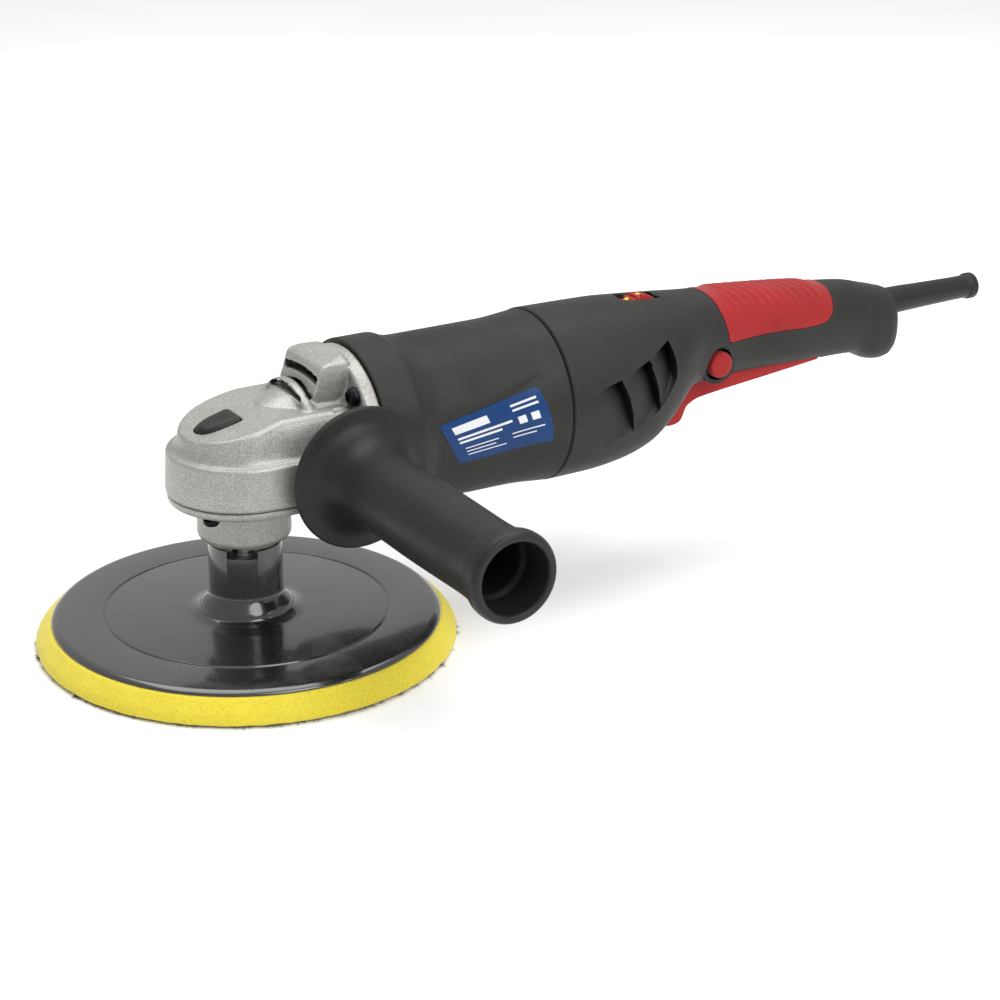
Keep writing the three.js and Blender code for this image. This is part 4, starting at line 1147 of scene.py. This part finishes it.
def handle_shells():
    body = handle_outer()
    step = [
        prism("bay", [(200, 40), (300, 40), (300, 88), (226, 88), (214, 80), (203, 66), (200, 58)],
              -TRIGGER_HALF - 0.8, TRIGGER_HALF + 0.8),
        box("dial_room", DIAL_X - 13.2, DIAL_X + 13.2, -5.2, 5.2, 96, 117.6),
        box("dial_slot", DIAL_X - 9.4, DIAL_X + 9.4, -5.2, 5.2, 110, 130),
        round_hole("axle", 2.4, -9, 9, ALONG_Y, (DIAL_X, 0, DIAL_Z)),
        round_hole("button_well", 7.6, -40, -13, ALONG_Y, (BUTTON_X, 0, BUTTON_Z)),
        round_hole("cord_hole", 6.8, 330, 360, ALONG_X, (0, 0, CORD_Z)),
        round_hole("well_flare", 8.6, -40, -18.9, ALONG_Y, (BUTTON_X, 0, BUTTON_Z)),
    ]
    dish = spun("dish", [(math.sin(a), -math.cos(a)) for a in np.linspace(0, math.pi, 24)], 72)
    dish.data.transform(Matrix.Translation((DIAL_X, 0, 122.2)) @ Matrix.Rotation(0.05, 4, "Y")
                        @ Matrix.Diagonal((13, 6.6, 1.9, 1)))
    step.append(dish)
    for x, z in HANDLE_SCREWS:
        step.append(round_hole("head", 4.2, 9, 60, ALONG_Y, (x, 0, z), 40))
    carve(body, *step)
    ring = prism("zone", grip_outline(0.35), -30, 30)
    core = skin("core", [handle_ring(x, 2.0, 96) for x in np.arange(224, 308, 2)])
    carve(body, carve(ring, core))
    scoops = [scoop(front, rear, 7.4) for front, rear in zip(LOUVRE_LINES, LOUVRE_LINES[1:])]
    scoops += [mirrored(thing, "scoop") for thing in scoops]
    carve(body, *scoops)
    carve(body, handle_inner())
    weld(body, spun("tower", [(0, -10.8), (9.6, -10.8), (9.6, -18), (7.6, -18), (7.6, -13), (0, -13)],
                    48, ALONG_Y, (BUTTON_X, 0, BUTTON_Z)))
    carve(body, round_hole("plunger_hole", 3.4, -20, -5, ALONG_Y, (BUTTON_X, 0, BUTTON_Z)))
    halves = []
    for name, low, high in (("left_handle_shell", -60, -0.13), ("right_handle_shell", 0.13, 60)):
        half = overlap(copy_of(body), box("half", 130, 360, low, high, 30, 140))
        half.name = name
        halves.append(bevelled(half, 0.28, 2, 50))
    bpy.data.objects.remove(body)
    return halves


left, right = handle_shells()
finish_piece(left, "machine", "charcoal_plastic", "handle_shell_left")
finish_piece(right, "machine", "charcoal_plastic", "handle_shell_right")
finish_piece(soft_grip(), "machine", "red_rubber", "grip_overmould")

for number, (x, z) in enumerate(HANDLE_SCREWS, 1):
    piece = screw(f"handle_screw_head_{number}", 3.5, 2.4, 1.9, 18)
    piece.data.transform(Matrix.Translation((x, 9.3, z)) @ Matrix.Rotation(-math.pi / 2, 4, "X"))
    finish_piece(piece, "machine", "black_steel", f"handle_screw_{number}")

# ------------------------------------------------------------------ trigger, button, dial, cord

trigger = prism("trigger_paddle", trigger_outline(), -TRIGGER_HALF, TRIGGER_HALF)
carve(trigger, round_hole("pin", 2.3, -15, 15, ALONG_Y, (292, 0, 84)))
bevelled(trigger, 1.1, 4, 50)
finish_piece(trigger, "trigger_lever", "red_plastic", "trigger")


def button_knurl(angle, radius, distance):
    """Rounded ribs round the rim of the lock-on button."""
    if radius < 5.2 or distance > -15.5:
        return 0
    return -0.22 * (0.5 - 0.5 * math.cos(30 * angle))


lock_on = spun("lock_on_button", soft([
    (0, -13.7), (3, -13.7, 0.2), (3, -16.2, 0.2), (6.1, -16.2, 0.2), (6.1, -20.3, 0.3),
    (5.6, -21, 0.5), (3.5, -21.2, 1), (0, -21.2),
], 0.3, 4), 240, ALONG_Y, (BUTTON_X, 0, BUTTON_Z), wave=button_knurl)
finish_piece(lock_on, "lock_on", "red_rubber", "lock_button")


def dial_notches(angle, radius, distance):
    if radius < 10:
        return 0
    return -0.7 * blend_between(math.cos(24 * angle), 0.2, 0.8)


wheel = spun("speed_wheel", soft([
    (0, -8.2), (2, -8.2, 0.2), (2, -4.5, 0.2), (10.8, -4.5, 0.5), (12, -3.6, 0.6), (12, 3.6, 0.6),
    (10.8, 4.5, 0.5), (2, 4.5, 0.2), (2, 8.2, 0.2), (0, 8.2),
], 0.3, 3), 240, ALONG_Y, (DIAL_X, 0, DIAL_Z), wave=dial_notches)
finish_piece(wheel, "dial", "red_plastic", "speed_dial")


def dial_marks():
    """Printed steps on the wheel's rim, longer and longer with the speed."""
    marks = []
    for i in range(12):
        angle = TAU * i / 12 + math.pi / 2
        wide = 1.1 + 0.2 * (i % 6)
        half = 0.085
        corners = [(-wide, angle - half), (wide, angle - half), (wide, angle + half),
                   (-wide, angle + half)]
        rings = [[(DIAL_X + r * math.cos(a), y, DIAL_Z + r * math.sin(a)) for y, a in corners]
                 for r in (11.6, 12.06)]
        marks.append(skin("mark", rings))
    return joined("speed_wheel_marks", marks)


finish_piece(dial_marks(), "dial", None,
             look=moulded("mark_yellow", srgb(228, 196, 84), (0.45, 0.6), 0.1, worn=1.0))

CORD_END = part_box("cord_guard")[1].x / MM
guard = spun("cord_sleeve", soft_loop([
    (3.9, 327, 0.2), (7.1, 327, 0.3), (7.1, 329.6, 0.3), (6.5, 329.8, 0.2), (6.5, 350, 3),
    (6.1, 362, 5), (5.6, 385, 3), (5.6, 391.6, 0.6), (6.4, 393, 0.6), (6.4, CORD_END - 0.6, 0.8),
    (5.6, CORD_END, 0.5), (3.9, CORD_END, 0.3),
], 0.3, 4), 96, ALONG_X, (0, 0, CORD_Z), loop=True)
finish_piece(guard, "machine", "black_plastic", "cord_guard")

# ------------------------------------------------------------------ carried CAD nodes

for part in frame["record"]["subparts"]:
    node = frame["nodes"][part["node"]]
    node.data.materials.clear()
    node.data.materials.append(looks[part["material_slot"]])

# ------------------------------------------------------------------ stage, light, camera


def studio():
    ground = bpy.data.meshes.new("floor")
    ground.from_pydata([(-6, -6, 0), (6, -6, 0), (6, 6, 0), (-6, 6, 0)], [], [(0, 1, 2, 3)])
    floor = bpy.data.objects.new("floor", ground)
    floor.location.z = -0.0002
    bpy.context.scene.collection.objects.link(floor)
    finish = Finish("pale_floor", Roughness=0.9, Specular_IOR_Level=0.1)
    finish.colour(finish.ramp(finish.noise(3, 2), (0.93, 0.93, 0.93, 1), (0.96, 0.96, 0.96, 1)))
    ground.materials.append(finish.material)

    world = bpy.data.worlds.new("studio")
    bpy.context.scene.world = world
    world.use_nodes = True
    background = world.node_tree.nodes["Background"]
    background.inputs["Color"].default_value = (1, 1, 1, 1)
    background.inputs["Strength"].default_value = 0.64
    bpy.context.scene.view_settings.view_transform = "Standard"


def soft_box(name, place, aim, size, power):
    lamp = bpy.data.lights.new(name, "AREA")
    lamp.shape = "RECTANGLE"
    lamp.size, lamp.size_y = size
    lamp.energy = power
    thing = bpy.data.objects.new(name, lamp)
    thing.location = place
    thing.rotation_mode = "QUATERNION"
    thing.rotation_quaternion = (Vector(aim) - Vector(place)).to_track_quat("-Z", "Y")
    bpy.context.scene.collection.objects.link(thing)


def camera():
    azimuth, elevation, roll = (math.radians(v) for v in (-31.285, 21.739, 0.374))
    target, distance = Vector((126.39, 0, 36.909)) * MM, 1128.304 * MM
    back = Vector((math.sin(azimuth) * math.cos(elevation),
                   -math.cos(azimuth) * math.cos(elevation), math.sin(elevation)))
    level = Vector((math.cos(azimuth), math.sin(azimuth), 0))
    upright = back.cross(level)
    right = level * math.cos(roll) + upright * math.sin(roll)
    up = upright * math.cos(roll) - level * math.sin(roll)
    lens = bpy.data.cameras.new("camera")
    lens.sensor_width = 36
    lens.lens = 90.427
    lens.clip_start, lens.clip_end = 0.05, 40
    eye = bpy.data.objects.new("camera", lens)
    bpy.context.scene.collection.objects.link(eye)
    eye.matrix_world = Matrix.Translation(target + back * distance) @ Matrix((
        (right.x, up.x, back.x), (right.y, up.y, back.y), (right.z, up.z, back.z))).to_4x4()
    bpy.context.scene.camera = eye


studio()
soft_box("key", (0.35, -1.2, 1.25), (0.1, 0, 0.06), (1.2, 1.2), 18)
soft_box("overhead", (0.25, 0.35, 1.5), (0.12, 0, 0.06), (1.6, 1.0), 16)
camera()
